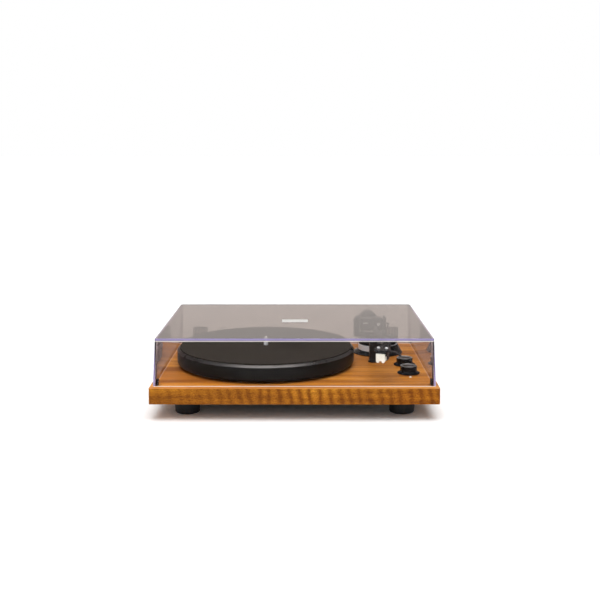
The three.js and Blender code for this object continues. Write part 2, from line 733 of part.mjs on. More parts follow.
// The clip turns over the arm. It is drawn closed and turned back to its open place.
function armClip(parent) {
  const reach = ARM_RADIUS + 0.8;
  const height = PIVOT_Z + reach - CLIP_Z;
  const shape = outline([
    [-1.1, -1],
    [1.1, -1],
    [1.4, height + 1.6],
    [-CLIP_X - reach - 1.8, height + 1.6],
    [-CLIP_X - reach - 1.8, -0.6],
    [-CLIP_X - reach, -0.6],
    [-CLIP_X - reach, height - 1],
    [-CLIP_X - reach + 1, height],
    [-1.1, height],
  ]);
  const hook = upright(shape, 3.6);
  const pin = rodY(0.6, -4, 4, 0, 0, 10);
  const clip = join(hook, pin).rotateY(CLIP_OPEN).translate(CLIP_X, 0, CLIP_Z);
  add("arm_clip", clip, blackPlastic, parent);
}

// ---- cue lift and anti-skate ----
function cueLift() {
  const from = THREE.MathUtils.degToRad(-142);
  const to = THREE.MathUtils.degToRad(-84);
  const shape = new THREE.Shape();
  shape.absarc(0, 0, LIFT_RADIUS + 2, from, to, false);
  shape.absarc(0, 0, LIFT_RADIUS - 2, to, from, true);
  shape.closePath();
  const bar = plate(shape, LIFT_TOP - 3, LIFT_TOP, 10).translate(PIVOT_X, PIVOT_Y, 0);
  const pad = rod(4.2, LIFT_TOP - 3, LIFT_TOP, PISTON_X, PISTON_Y);
  const piston = rod(PISTON_RADIUS, DECK + 8, LIFT_TOP - 1, PISTON_X, PISTON_Y);
  return join(bar, pad, piston);
}

// The lever lies towards the front at rest and lifts the arm when its end is turned up.
function cueLever() {
  const hub = rodX(3.2, LEVER_X - LEVER_HALF, LEVER_X + LEVER_HALF, LEVER_Y, LEVER_Z);
  const pin = rodX(LEVER_PIN, LEVER_X - 5, LEVER_X + 5, LEVER_Y, LEVER_Z, 12);
  const bar = rodY(1.5, LEVER_Y - 27, LEVER_Y, LEVER_X, LEVER_Z, 12);
  const tip = rodY(2.8, LEVER_Y - 36, LEVER_Y - 25, LEVER_X, LEVER_Z, 16);
  return join(hub, pin, bar, tip);
}

function antiSkateDial() {
  const low = BASE_TOP + GAP;
  const profile = [
    [0, low],
    [SKATE_RADIUS, low],
    [SKATE_RADIUS, low + 2.2],
    [SKATE_RADIUS - 0.6, low + 3],
    [0, low + 3],
  ];
  const slot = block(1.2, 10, low + 2.4, low + 4, SKATE_X, SKATE_Y);
  return cut(turned(profile, SKATE_X, SKATE_Y, ROUND_SMALL + 4), slot);
}

// ---- the arm, in a frame at the pivot with -Y towards the headshell ----
// A U of two cheeks, the left one thicker. Each has its outer upper corner rounded.
function gimbalYoke() {
  const leftCorner = YOKE_LEFT - YOKE_SLOT;
  const rightCorner = YOKE_RIGHT - YOKE_SLOT;
  const floor = YOKE_LOW + YOKE_FLOOR;
  const shape = new THREE.Shape();
  shape.moveTo(-YOKE_LEFT, YOKE_LOW);
  shape.lineTo(YOKE_RIGHT, YOKE_LOW);
  shape.lineTo(YOKE_RIGHT, YOKE_HIGH - rightCorner);
  shape.absarc(YOKE_SLOT, YOKE_HIGH - rightCorner, rightCorner, 0, Math.PI / 2, false);
  shape.lineTo(YOKE_SLOT, floor);
  shape.lineTo(-YOKE_SLOT, floor);
  shape.lineTo(-YOKE_SLOT, YOKE_HIGH);
  shape.absarc(-YOKE_SLOT, YOKE_HIGH - leftCorner, leftCorner, Math.PI / 2, Math.PI, false);
  shape.closePath();
  const pivotHole = rodX(BEARING_PIN + GAP, -YOKE_LEFT - 1, YOKE_RIGHT + 1, 0, 0, 16);
  const spindleHole = rod(YOKE_SPINDLE + GAP, YOKE_LOW - 1, YOKE_LOW + YOKE_FLOOR / 2 + GAP, 0, 0);
  return cut(upright(shape, YOKE_DEPTH, 5), pivotHole, spindleHole);
}

function yokeSpindle() {
  return rod(YOKE_SPINDLE, DECK - 9.5 - PIVOT_Z, YOKE_LOW + YOKE_FLOOR / 2, 0, 0);
}

function bearingBlock() {
  const shape = roundedRectangle(2 * BLOCK_HALF, BLOCK_HEIGHT, 3.5);
  const body = upright(shape, BLOCK_DEPTH, 3);
  const pins = rodX(BEARING_PIN, 1 - YOKE_LEFT, YOKE_RIGHT - 1, 0, 0, 16);
  const front = rodY(ARM_RADIUS + GAP, -BLOCK_DEPTH, -4);
  const rear = rodY(STUB_RADIUS + GAP, 4, BLOCK_DEPTH, 0, 0, 16);
  return cut(join(body, pins), front, rear);
}

function armTube() {
  const tube = rodY(ARM_RADIUS, -ARM_LENGTH, -4 - GAP, 0, 0, ROUND_SMALL + 4);
  return cut(tube, rodY(ARM_RADIUS - 1, -ARM_LENGTH - 1, -40, 0, 0));
}

function rearStub() {
  return rodY(STUB_RADIUS, 4 + GAP, STUB_END, 0, 0, 16);
}

// The headshell: a collar round the end of the tube and a plate turned towards the middle.
function turnToHeadshell(geometry) {
  return geometry.rotateZ(-HEADSHELL_OFFSET).translate(0, -ARM_LENGTH, 0);
}

function headshell() {
  const collar = rodY(ARM_RADIUS + 1.6, -ARM_LENGTH - 1, -ARM_LENGTH + 14);
  const neck = turnToHeadshell(rodY(ARM_RADIUS + 1.2, -8, 3));
  const shape = outline([
    [-4.5, 0],
    [-5, -7],
    [-10.5, -20],
    [-10.5, -42],
    [-9, -45],
    [9, -45],
    [10.5, -42],
    [10.5, -20],
    [5, -7],
    [4.5, 0],
  ]);
  const sheet = turnToHeadshell(plate(shape, PLATE_LOW, PLATE_HIGH));
  const socket = rodY(ARM_RADIUS + GAP, -ARM_LENGTH - GAP, -ARM_LENGTH + 20);
  const holes = [-1, 1].map((side) =>
    turnToHeadshell(rod(1.5, -10, 10, (side * SCREW_SPACING) / 2, -SCREW_REACH, 12)),
  );
  return cut(join(collar, neck, sheet), socket, ...holes);
}

function headshellScrew(side) {
  const high = PLATE_HIGH + GAP;
  const profile = [
    [0, -1.5],
    [1.2, -1.5],
    [1.2, high],
    [2.4, high],
    [2.4, high + 1.2],
    [1.6, high + 1.8],
    [0, high + 1.8],
  ];
  return turnToHeadshell(turned(profile, (side * SCREW_SPACING) / 2, -SCREW_REACH, 16));
}

// A bent strip on the outer side of the headshell.
function fingerLift() {
  const shape = outline([
    [0, 0],
    [12, -1.2],
    [17, -5],
    [19.5, -5.4],
    [19.8, -4.2],
    [17.8, -3.6],
    [12.6, 0.4],
    [0, 1.6],
  ]);
  const strip = upright(shape, 7);
  return turnToHeadshell(strip.translate(10.5 + GAP, -34, PLATE_LOW));
}

function cartridgeBody() {
  const upper = block(17, 26, -6, CARTRIDGE_TOP, 0, -27);
  const lower = block(15, 17, -14.5, -5, 0, -22.5);
  const holes = [-1, 1].map((side) => rod(1.5, -2, 10, (side * SCREW_SPACING) / 2, -SCREW_REACH, 12));
  return turnToHeadshell(cut(join(upper, lower), ...holes));
}

// The stylus holder fills the front of the cartridge, with the needle under a notch.
function stylus() {
  const body = block(14, 13, STYLUS_LOW, -6 - GAP, 0, -38.1);
  const notch = block(4.4, 4, STYLUS_LOW - 1, STYLUS_LOW + 3, 0, -43);
  const tip = new THREE.ConeGeometry(0.8, 3.2, 8).rotateX(-Math.PI / 2);
  tip.translate(0, -STYLUS_REACH, STYLUS_LOW - 0.4);
  return turnToHeadshell(join(cut(body, notch), tip));
}

function forceDial() {
  const profile = [
    [STUB_RADIUS + GAP, DIAL_FRONT],
    [WEIGHT_RADIUS - 3, DIAL_FRONT],
    [WEIGHT_RADIUS - 1, DIAL_REAR],
    [STUB_RADIUS + GAP, DIAL_REAR],
    [STUB_RADIUS + GAP, DIAL_FRONT],
  ];
  return turnedY(profile, 0, 0, ROUND_MEDIUM - 8);
}

function counterweight() {
  const profile = [
    [STUB_RADIUS + GAP, WEIGHT_FRONT],
    [WEIGHT_RADIUS - 1, WEIGHT_FRONT],
    [WEIGHT_RADIUS, WEIGHT_FRONT + 1],
    [WEIGHT_RADIUS, WEIGHT_REAR - 2],
    [WEIGHT_RADIUS - 2, WEIGHT_REAR],
    [WEIGHT_RECESS_RADIUS, WEIGHT_REAR],
    [WEIGHT_RECESS_RADIUS, WEIGHT_REAR - WEIGHT_RECESS],
    [STUB_RADIUS + GAP, WEIGHT_REAR - WEIGHT_RECESS],
    [STUB_RADIUS + GAP, WEIGHT_FRONT],
  ];
  return turnedY(profile, 0, 0, ROUND_MEDIUM - 8);
}

// ---- sockets and electronics ----
function rearPanel() {
  const near = PLINTH_BACK_Y + GAP;
  const midY = near + PANEL_THICKNESS / 2;
  const sheet = block(PANEL_WIDTH, PANEL_THICKNESS, FOOT_HEIGHT + 2.5, DECK - 2.5, PANEL_MID_X, midY);
  const holes = [
    ...JACKS.map((x) => rodY(JACK_RADIUS + GAP, near - 2, near + 4, x, JACK_Z)),
    block(TERMINAL_WIDTH + 2 * GAP, 8, JACK_Z - 5 - GAP, JACK_Z + 5 + GAP, TERMINAL_X, near),
    rodY(INLET_RADIUS + GAP, near - 2, near + 4, INLET_X, JACK_Z),
  ];
  return cut(sheet, ...holes);
}

function rcaJack(x) {
  const profile = [
    [0, SOCKET_FRONT],
    [JACK_RADIUS, SOCKET_FRONT],
    [JACK_RADIUS, PANEL_FACE],
    [6.4, PANEL_FACE],
    [6.4, PANEL_FACE + 1.4],
    [4.1, PANEL_FACE + 1.4],
    [4.1, BACK_Y],
    [1.7, BACK_Y],
    [1.7, PANEL_FACE],
    [0, PANEL_FACE],
  ];
  return turnedY(profile, x, JACK_Z);
}

function speakerTerminals() {
  const near = PLINTH_BACK_Y - 8;
  const far = PANEL_FACE + 3;
  const midY = (near + far) / 2;
  const body = block(TERMINAL_WIDTH, far - near, JACK_Z - 5, JACK_Z + 5, TERMINAL_X, midY);
  const rim = block(TERMINAL_WIDTH + 4, 1.4, JACK_Z - 6.5, JACK_Z + 6.5, TERMINAL_X, PANEL_FACE + 0.7);
  const holes = [-1.5, -0.5, 0.5, 1.5].map((step) =>
    rodY(1.6, PANEL_FACE - 4, PANEL_FACE + 6, TERMINAL_X + step * TERMINAL_PITCH, JACK_Z - 2, 12),
  );
  return cut(join(body, rim), ...holes);
}

function dcInlet() {
  const profile = [
    [0, SOCKET_FRONT],
    [INLET_RADIUS, SOCKET_FRONT],
    [INLET_RADIUS, PANEL_FACE],
    [6.2, PANEL_FACE],
    [6.2, PANEL_FACE + 1.6],
    [3.2, PANEL_FACE + 1.6],
    [3.2, PANEL_FACE - 7],
    [1, PANEL_FACE - 7],
    [1, PANEL_FACE],
    [0, PANEL_FACE],
  ];
  return turnedY(profile, INLET_X, JACK_Z);
}

function amplifierBoard() {
  const high = BOARD_LOW + 1.6;
  const board = block(BOARD_WIDTH, BOARD_DEPTH, BOARD_LOW, high, BOARD_X, BOARD_Y);
  const heatSink = block(30, 14, high - 0.5, high + 7, BOARD_X - 20, BOARD_Y - 18);
  const chip = block(16, 16, high - 0.5, high + 1.6, BOARD_X + 20, BOARD_Y + 6);
  const cans = [0, 1].map((step) => rod(4, high - 0.5, high + 7, BOARD_X - 30 + step * 12, BOARD_Y + 14));
  return join(board, heatSink, chip, ...cans);
}

// ---- assembly ----
add("plinth", plinth(), wood);
add("bottom_cover", bottomCover(), blackMetal);
add("foot_front_left", foot(-FOOT_X, -FOOT_Y), rubber);
add("foot_front_right", foot(FOOT_X, -FOOT_Y), rubber);
add("foot_rear_left", foot(-FOOT_X, FOOT_Y), rubber);
add("foot_rear_right", foot(FOOT_X, FOOT_Y), rubber);

add("platter", platter(), glossBlack);
add("slip_mat", slipMat(), felt);
add("spindle", spindle(), steel);
add("bearing_housing", bearingHousing(), brass);
add("motor_can", motorCan(), steel);
add("motor_shaft", motorShaft(), steel);
add("motor_pulley", motorPulley(), brass);
add("drive_belt", driveBelt(), rubber);

add("volume_knob", knob(VOLUME_Y), blackPlastic);
add("selector_knob", knob(SELECTOR_Y), blackPlastic);
add("volume_shaft", knobShaft(VOLUME_Y), aluminium);
add("selector_shaft", knobShaft(SELECTOR_Y), aluminium);
add("volume_pot", turningControl(17, UNDERSIDE - GAP, VOLUME_Y), steel);
add("selector_switch", turningControl(21, UNDERSIDE - GAP, SELECTOR_Y), blackPlastic);
add("power_lens", powerLens(), lens);

add("dust_cover", dustCover(), clear);
add("cover_badge", coverBadge(), aluminium);
for (const [name, side] of [["left", -1], ["right", 1]]) {
  add("cover_bumper_" + name, coverBumper(side), rubber);
  add("hinge_leaf_" + name, hingeLeaf(side), blackPlastic);
  add("hinge_base_" + name, hingeBase(side), blackPlastic);
  add("hinge_pin_" + name, hingePin(side), steel);
}

add("arm_base_skirt", armBaseSkirt(), blackPlastic);
add("arm_base_ring", armBaseRing(), aluminium);
add("arm_base_top", armBaseTop(), blackPlastic);
add("arm_pillar", armPillar(), blackMetal);
add("pillar_nut", pillarNut(), steel);
add("cue_lift", cueLift(), blackPlastic);
add("cue_lever", cueLever(), blackMetal);
add("anti_skate_dial", antiSkateDial(), blackPlastic);

const rest = new THREE.Group();
rest.position.set(REST_X, REST_Y, 0);
rest.rotation.z = ARM_YAW;
group.add(rest);
armrestPost(rest);
armClip(rest);

const arm = new THREE.Group();
arm.position.set(PIVOT_X, PIVOT_Y, PIVOT_Z);
arm.rotation.z = ARM_YAW;
group.add(arm);
add("gimbal_yoke", gimbalYoke(), blackPlastic, arm);
add("yoke_spindle", yokeSpindle(), steel, arm);
add("bearing_block", bearingBlock(), blackMetal, arm);
add("arm_tube", armTube(), blackMetal, arm);
add("rear_stub", rearStub(), steel, arm);
add("headshell", headshell(), glossBlack, arm);
add("headshell_screw_left", headshellScrew(-1), steel, arm);
add("headshell_screw_right", headshellScrew(1), steel, arm);
add("finger_lift", fingerLift(), glossBlack, arm);
add("cartridge_body", cartridgeBody(), blackPlastic, arm);
add("stylus", stylus(), ivory, arm);
add("force_dial", forceDial(), blackPlastic, arm);
add("counterweight", counterweight(), blackMetal, arm);

add("rear_panel", rearPanel(), blackMetal);
add("rca_jack_left", rcaJack(JACKS[0]), aluminium);
add("rca_jack_right", rcaJack(JACKS[1]), redPlastic);
add("speaker_terminals", speakerTerminals(), blackPlastic);
add("dc_inlet", dcInlet(), blackPlastic);
add("amplifier_board", amplifierBoard(), greenBoard);

export default group;
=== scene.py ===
# %% [markdown]
# A belt-drive record player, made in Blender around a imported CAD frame. The frame fixes every size and
# every place, so each piece below starts from the box of the CAD part that it stands for. Lengths in the
# text and in the named values are millimetres, and MM turns them into metres.

# %% Load the frame
import json
import math

import bmesh
import bpy
from mathutils import Matrix, Vector

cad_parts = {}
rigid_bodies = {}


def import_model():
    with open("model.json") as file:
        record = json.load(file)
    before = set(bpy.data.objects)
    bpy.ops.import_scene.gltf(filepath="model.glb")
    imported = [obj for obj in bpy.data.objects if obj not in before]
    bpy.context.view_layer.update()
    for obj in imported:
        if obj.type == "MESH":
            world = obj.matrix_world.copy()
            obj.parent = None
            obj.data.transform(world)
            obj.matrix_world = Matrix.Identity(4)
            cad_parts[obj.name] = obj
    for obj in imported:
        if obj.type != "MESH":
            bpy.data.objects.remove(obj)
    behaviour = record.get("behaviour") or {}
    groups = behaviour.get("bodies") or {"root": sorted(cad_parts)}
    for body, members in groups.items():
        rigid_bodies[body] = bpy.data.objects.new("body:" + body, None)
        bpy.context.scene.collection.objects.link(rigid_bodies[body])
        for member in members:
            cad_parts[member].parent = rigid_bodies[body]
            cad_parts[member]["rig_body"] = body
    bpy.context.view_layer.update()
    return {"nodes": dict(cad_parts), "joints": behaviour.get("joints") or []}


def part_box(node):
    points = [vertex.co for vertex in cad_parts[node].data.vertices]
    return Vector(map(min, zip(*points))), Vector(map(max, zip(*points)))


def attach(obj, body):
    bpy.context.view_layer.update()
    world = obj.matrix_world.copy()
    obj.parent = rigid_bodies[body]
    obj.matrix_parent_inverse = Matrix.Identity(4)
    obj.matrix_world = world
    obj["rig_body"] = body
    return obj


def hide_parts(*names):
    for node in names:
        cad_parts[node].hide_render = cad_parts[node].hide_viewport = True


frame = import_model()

MM = 0.001
joints = {joint["name"]: joint for joint in frame["joints"]}

# %% [markdown]
# The camera stands a little over a metre and a half in front of the player and looks slightly down on it,
# as someone does who sits before the shelf. A long lens keeps the plinth's sides nearly parallel. The
# small shift keeps upright edges upright.

# %% Camera
CAMERA_PLACE = (8.4, -1552.3, 409)
CAMERA_TILT = 4.8  # degrees below level
CAMERA_LENS = 55.83
CAMERA_SHIFT = -0.1208

camera_data = bpy.data.cameras.new("camera")
camera_data.lens = CAMERA_LENS
camera_data.shift_y = CAMERA_SHIFT
camera_data.clip_end = 50
camera = bpy.data.objects.new("camera", camera_data)
camera.location = Vector(CAMERA_PLACE) * MM
camera.rotation_euler = (math.radians(90 - CAMERA_TILT), 0, 0)
bpy.context.scene.collection.objects.link(camera)
bpy.context.scene.camera = camera
bpy.context.scene.view_settings.view_transform = "Standard"
print("camera at", tuple(camera.location))

# %% [markdown]
# The studio is a pale floor in front of a white backdrop. Above the backdrop the room is a dimmer warm
# grey, and that is what the lid mirrors. The room in front is dark, so that shiny fronts stay deep, and
# the camera itself sees plain white all round. One wide soft lamp overhead lights everything and draws
# the bright line on the platter's rim, and a second one fills the front.

# %% Floor, room and lamps
FLOOR_HALF = 60
FLOOR_PAINT = (0.93, 0.93, 0.93, 1)
BACKDROP = (1, 1, 1)
ROOM = (0.67, 0.62, 0.585)  # above the backdrop, where the lid mirrors it
CEILING = (0.4, 0.4, 0.4)
DARK_ROOM = (0.1, 0.1, 0.105)  # in front of the player
BACKDROP_TOP = (0.15, 0.166)  # sine of the height angle where the backdrop ends
CEILING_FROM = (0.3, 0.55)
FRONT_FADE = (-0.25, 0.15)  # from dark in front to lit behind


def studio_floor():
    bm = bmesh.new()
    bmesh.ops.create_grid(bm, x_segments=1, y_segments=1, size=FLOOR_HALF)
    mesh = bpy.data.meshes.new("studio_floor")
    bm.to_mesh(mesh)
    bm.free()
    floor = bpy.data.objects.new("studio_floor", mesh)
    bpy.context.scene.collection.objects.link(floor)
    paint = bpy.data.materials.new("pale_floor")
    paint.use_nodes = True
    shader = paint.node_tree.nodes["Principled BSDF"]
    shader.inputs["Base Color"].default_value = FLOOR_PAINT
    shader.inputs["Roughness"].default_value = 0.9
    mesh.materials.append(paint)


def room_world():
    """A world whose colour depends only on the direction: backdrop, room above it, dark room in front."""
    world = bpy.data.worlds.new("studio_room")
    world.use_nodes = True
    tree = world.node_tree
    background = tree.nodes["Background"]
    direction = tree.nodes.new("ShaderNodeTexCoord")
    axes = tree.nodes.new("ShaderNodeSeparateXYZ")
    tree.links.new(direction.outputs["Generated"], axes.inputs["Vector"])

    def step(axis, ends):
        ranged = tree.nodes.new("ShaderNodeMapRange")
        tree.links.new(axes.outputs[axis], ranged.inputs["Value"])
        ranged.inputs["From Min"].default_value = ends[0]
        ranged.inputs["From Max"].default_value = ends[1]
        return ranged.outputs["Result"]

    def mixed(factor, first, second):
        mix = tree.nodes.new("ShaderNodeMix")
        mix.data_type = "RGBA"
        tree.links.new(factor, mix.inputs[0])
        for socket, value in ((mix.inputs[6], first), (mix.inputs[7], second)):
            if isinstance(value, tuple):
                socket.default_value = (*value, 1)
            else:
                tree.links.new(value, socket)
        return mix.outputs[2]

    above = mixed(step("Z", CEILING_FROM), ROOM, CEILING)
    behind = mixed(step("Z", BACKDROP_TOP), BACKDROP, above)
    around = mixed(step("Y", FRONT_FADE), DARK_ROOM, behind)
    ray = tree.nodes.new("ShaderNodeLightPath")
    seen = mixed(ray.outputs["Is Camera Ray"], around, BACKDROP)
    tree.links.new(seen, background.inputs["Color"])
    background.inputs["Strength"].default_value = 1
    bpy.context.scene.world = world


def soft_sun(name, height, turn, strength, spread):
    """A very wide sun, its direction given by a height angle and a turn in degrees."""
    data = bpy.data.lights.new(name, "SUN")
    data.energy = strength
    data.angle = math.radians(spread)
    lit = bpy.data.objects.new(name, data)
    lit.rotation_euler = (math.radians(90 - height), 0, math.radians(turn))
    bpy.context.scene.collection.objects.link(lit)


studio_floor()
room_world()
soft_sun("lamp_overhead", height=78, turn=10, strength=2.85, spread=60)
soft_sun("lamp_front", height=42, turn=-15, strength=1.1, spread=70)
print("studio ready")

# %% [markdown]
# Most pieces are made by one of three workshop moves: turned on a lathe, sawn from a board, or cut from a
# block. Each move is a short function around Blender's own mesh operators, and every sharp edge is then
# softened, because no real edge is a knife edge and the softened strip is what catches the light.

# %% Workshop moves
def soften(bm, width, segments=2, angle=30):
    """Rounds every edge whose faces meet at more than angle degrees."""
    limit = math.radians(angle)
    sharp = [edge for edge in bm.edges if len(edge.link_faces) == 2 and edge.calc_face_angle(0) > limit]
    bmesh.ops.bevel(
        bm, geom=sharp, offset=width * MM, segments=segments, profile=0.5,
        affect="EDGES", material=-1, clamp_overlap=True,
    )
    return bm


def tidy(bm):
    """Merges doubled points and turns every face outwards."""
    bmesh.ops.remove_doubles(bm, verts=bm.verts, dist=1e-6)
    bmesh.ops.recalc_face_normals(bm, faces=bm.faces)
    return bm


def moved(bm, matrix):
    bmesh.ops.transform(bm, matrix=matrix, verts=bm.verts)
    return bm


def arc(middle, radius, start, stop, steps=8):
    """Points on a round stretch of a profile, between two angles in degrees."""
    angles = [math.radians(start + (stop - start) * i / steps) for i in range(steps + 1)]
    return [(middle[0] + radius * math.cos(a), middle[1] + radius * math.sin(a)) for a in angles]


def turned(profile, steps=128, edge=0.3, segments=2):
    """A profile of (radius, height) points spun about Z. It closes on the axis or on itself."""
    bm = bmesh.new()
    line = [bm.verts.new((radius * MM, 0, height * MM)) for radius, height in profile]
    edges = [bm.edges.new(pair) for pair in zip(line, line[1:])]
    if profile[0][0] > 0:
        edges.append(bm.edges.new((line[-1], line[0])))
    bmesh.ops.spin(
        bm, geom=line + edges, cent=(0, 0, 0), axis=(0, 0, 1),
        angle=2 * math.pi, steps=steps, use_merge=True,
    )
    tidy(bm)
    return soften(bm, edge, segments) if edge else bm


def sawn(outline, low, high, edge=0.4, segments=2):
    """A board with the given (x, y) outline between two heights."""
    bm = bmesh.new()
    face = bm.faces.new([bm.verts.new((x * MM, y * MM, low * MM)) for x, y in outline])
    raised = bmesh.ops.extrude_face_region(bm, geom=[face])["geom"]
    top = [item for item in raised if isinstance(item, bmesh.types.BMVert)]
    bmesh.ops.translate(bm, verts=top, vec=(0, 0, (high - low) * MM))
    tidy(bm)
    return soften(bm, edge, segments) if edge else bm


def block(low, high, edge=0.4, segments=2, corner=0):
    """A box between two corners, its upright edges rounded to a corner radius first."""
    low, high = Vector(low) * MM, Vector(high) * MM
    bm = bmesh.new()
    bmesh.ops.create_cube(bm, size=1)
    bmesh.ops.scale(bm, vec=high - low, verts=bm.verts)
    bmesh.ops.translate(bm, vec=(low + high) / 2, verts=bm.verts)
    if corner:
        posts = [e for e in bm.edges if abs((e.verts[0].co - e.verts[1].co).normalized().z) > 0.9]
        bmesh.ops.bevel(
            bm, geom=posts, offset=corner * MM, segments=6, profile=0.5,
            affect="EDGES", material=-1,
        )
    return soften(bm, edge, segments) if edge else bm


def from_cad(node, edge=0.3, segments=2, angle=30):
    """A merged copy of a CAD part with its flat faces made whole and its edges softened."""
    bm = bmesh.new()
    bm.from_mesh(frame["nodes"][node].data)
    bmesh.ops.remove_doubles(bm, verts=bm.verts, dist=2e-6)
    bmesh.ops.dissolve_limit(bm, angle_limit=math.radians(0.5), verts=bm.verts, edges=bm.edges)
    return soften(bm, edge, segments, angle) if edge else bm


def together(*parts):
    """Several shapes as one mesh, for a piece of more than one lump."""
    whole = bmesh.new()
    for part in parts:
        mesh = bpy.data.meshes.new("part")
        part.to_mesh(mesh)
        part.free()
        whole.from_mesh(mesh)
        bpy.data.meshes.remove(mesh)
    return whole


def upright(x, y, z=0):
    """Moves a shape made at the origin to a place in millimetres."""
    return Matrix.Translation(Vector((x, y, z)) * MM)


LAID_BACK = Matrix.Rotation(math.radians(-90), 4, "X")  # turns +Z to point along +Y
LAID_FORWARD = Matrix.Rotation(math.radians(90), 4, "X")  # turns +Z to point along -Y
LAID_RIGHT = Matrix.Rotation(math.radians(90), 4, "Y")  # turns +Z to point along +X
made = []


def piece(name, bm, body, stands_for, material, smooth=35):
    """Makes the object, lets it ride on its body and hides the CAD part that it stands for."""
    mesh = bpy.data.meshes.new(name)
    bm.to_mesh(mesh)
    bm.free()
    mesh.shade_smooth()
    mesh.set_sharp_from_angle(angle=math.radians(smooth))
    for one in material if isinstance(material, (list, tuple)) else [material]:
        mesh.materials.append(one)
    thing = bpy.data.objects.new(name, mesh)
    bpy.context.scene.collection.objects.link(thing)
    weighted = thing.modifiers.new("flat_faces_stay_flat", "WEIGHTED_NORMAL")
    weighted.keep_sharp = True
    weighted.weight = 100
    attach(thing, body)
    if stands_for:
        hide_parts(*([stands_for] if isinstance(stands_for, str) else stands_for))
    made.append(name)
    return thing


def middle(node):
    """The middle of a CAD part's box and its lowest and highest corners, all in millimetres."""
    low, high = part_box(node)
    return (low + high) / 2 / MM, low / MM, high / MM


def body_of_node(node):
    return frame["nodes"][node]["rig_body"]


def softened(node, name, material, edge=0.35, segments=2):
    """A piece whose shape is its CAD part's own, with softened edges."""
    piece(name, from_cad(node, edge, segments), body_of_node(node), node, material)


def round_part(node, name, profile, material, steps=128, edge=0.3):
    """A piece turned about the upright line through the middle of its CAD part."""
    mid, _, _ = middle(node)
    bm = moved(turned(profile, steps, edge), upright(mid.x, mid.y))
    return piece(name, bm, body_of_node(node), node, material)


print("moves ready")

# %% [markdown]
# Materials are node trees. Each starts from the Principled shader, and a few helpers add what real
# finishes have: noise stretched along a grain, a ramp that turns it into colour, and a bump for what a
# finger feels. Patterns read Object coordinates, which are the piece's own place in the player, so
# nothing slides.

# %% Material helpers
def finish(name, colour, roughness, **sockets):
    """A new material with constants on its shader's sockets, and the shader."""
    material = bpy.data.materials.new(name)
    material.use_nodes = True
    shader = material.node_tree.nodes["Principled BSDF"]
    shader.inputs["Base Color"].default_value = (*colour, 1)
    shader.inputs["Roughness"].default_value = roughness
    for socket, value in sockets.items():
        shader.inputs[socket.replace("_", " ")].default_value = value
    return material, shader


def add_node(material, kind, **values):
    node = material.node_tree.nodes.new(kind)
    for key, value in values.items():
        setattr(node, key, value)
    return node


def link(material, source, target):
    material.node_tree.links.new(source, target)


def place_pattern(material, scale, turn=(0, 0, 0), shift=(0, 0, 0)):
    """Object coordinates, stretched by a scale for each axis."""
    where = add_node(material, "ShaderNodeTexCoord")
    mapping = add_node(material, "ShaderNodeMapping")
    mapping.inputs["Scale"].default_value = scale
    mapping.inputs["Rotation"].default_value = turn
    mapping.inputs["Location"].default_value = shift
    link(material, where.outputs["Object"], mapping.inputs["Vector"])
    return mapping.outputs["Vector"]


def noise(material, vector, scale=1, detail=3, roughness=0.5, distortion=0):
    node = add_node(material, "ShaderNodeTexNoise")
    link(material, vector, node.inputs["Vector"])
    node.inputs["Scale"].default_value = scale
    node.inputs["Detail"].default_value = detail
    node.inputs["Roughness"].default_value = roughness
    node.inputs["Distortion"].default_value = distortion
    return node.outputs["Fac"]


def ramp(material, factor, *stops):
    """Colour stops of (place, colour), blended between."""
    node = add_node(material, "ShaderNodeValToRGB")
    elements = node.color_ramp.elements
    while len(elements) < len(stops):
        elements.new(0.5)
    for element, (place, colour) in zip(elements, stops):
        element.position = place
        element.color = (*colour, 1)
    link(material, factor, node.inputs["Fac"])
    return node.outputs["Color"]


def spread(material, factor, low, high, to_low, to_high):
    """A factor stretched from one range to another, held at the ends."""
    node = add_node(material, "ShaderNodeMapRange")
    link(material, factor, node.inputs["Value"])
    for socket, value in zip(("From Min", "From Max", "To Min", "To Max"), (low, high, to_low, to_high)):
        node.inputs[socket].default_value = value
    return node.outputs["Result"]


def blend(material, mode, amount, first, second):
    """Two colours mixed. The amount is a number or another output."""
    node = add_node(material, "ShaderNodeMix", data_type="RGBA", blend_type=mode)
    if isinstance(amount, (int, float)):
        node.inputs["Factor"].default_value = amount
    else:
        link(material, amount, node.inputs["Factor"])
    for socket, value in (("A", first), ("B", second)):
        colour_input = [s for s in node.inputs if s.name == socket and s.type == "RGBA"][0]
        if isinstance(value, tuple):
            colour_input.default_value = (*value, 1)
        else:
            link(material, value, colour_input)
    return [s for s in node.outputs if s.type == "RGBA"][0]


def maths(material, operation, first, second):
    """Two values worked into one. Each is a number or another output."""
    node = add_node(material, "ShaderNodeMath", operation=operation)
    for socket, value in zip(node.inputs, (first, second)):
        if isinstance(value, (int, float)):
            socket.default_value = value
        else:
            link(material, value, socket)
    return node.outputs["Value"]


def product(material, first, second):
    return maths(material, "MULTIPLY", first, second)


def greater(material, first, second):
    return maths(material, "MAXIMUM", first, second)


def position(material):
    """Object coordinates as three separate numbers."""
    axes = add_node(material, "ShaderNodeSeparateXYZ")
    link(material, place_pattern(material, (1, 1, 1)), axes.inputs["Vector"])
    return axes.outputs


def bump(material, shader, height, distance, strength=1):
    """A height in millimetres pressed into the shader's normal."""
    node = add_node(material, "ShaderNodeBump")
    node.inputs["Distance"].default_value = distance * MM
    node.inputs["Strength"].default_value = strength
    link(material, height, node.inputs["Height"])
    link(material, node.outputs["Normal"], shader.inputs["Normal"])


print("material helpers ready")

# %% [markdown]
# The plinth wears a real-wood veneer under satin lacquer. Grain is one noise drawn out along an axis:
# slow bands of colour, fine lines, then short dark pores. Deck, front and ends come from different
# leaves. The front leaf has curl, soft upright ripples where the fibres wave in and out, and the ends
# have their grain from front to back. One function makes all three, and the front adds the ripple.

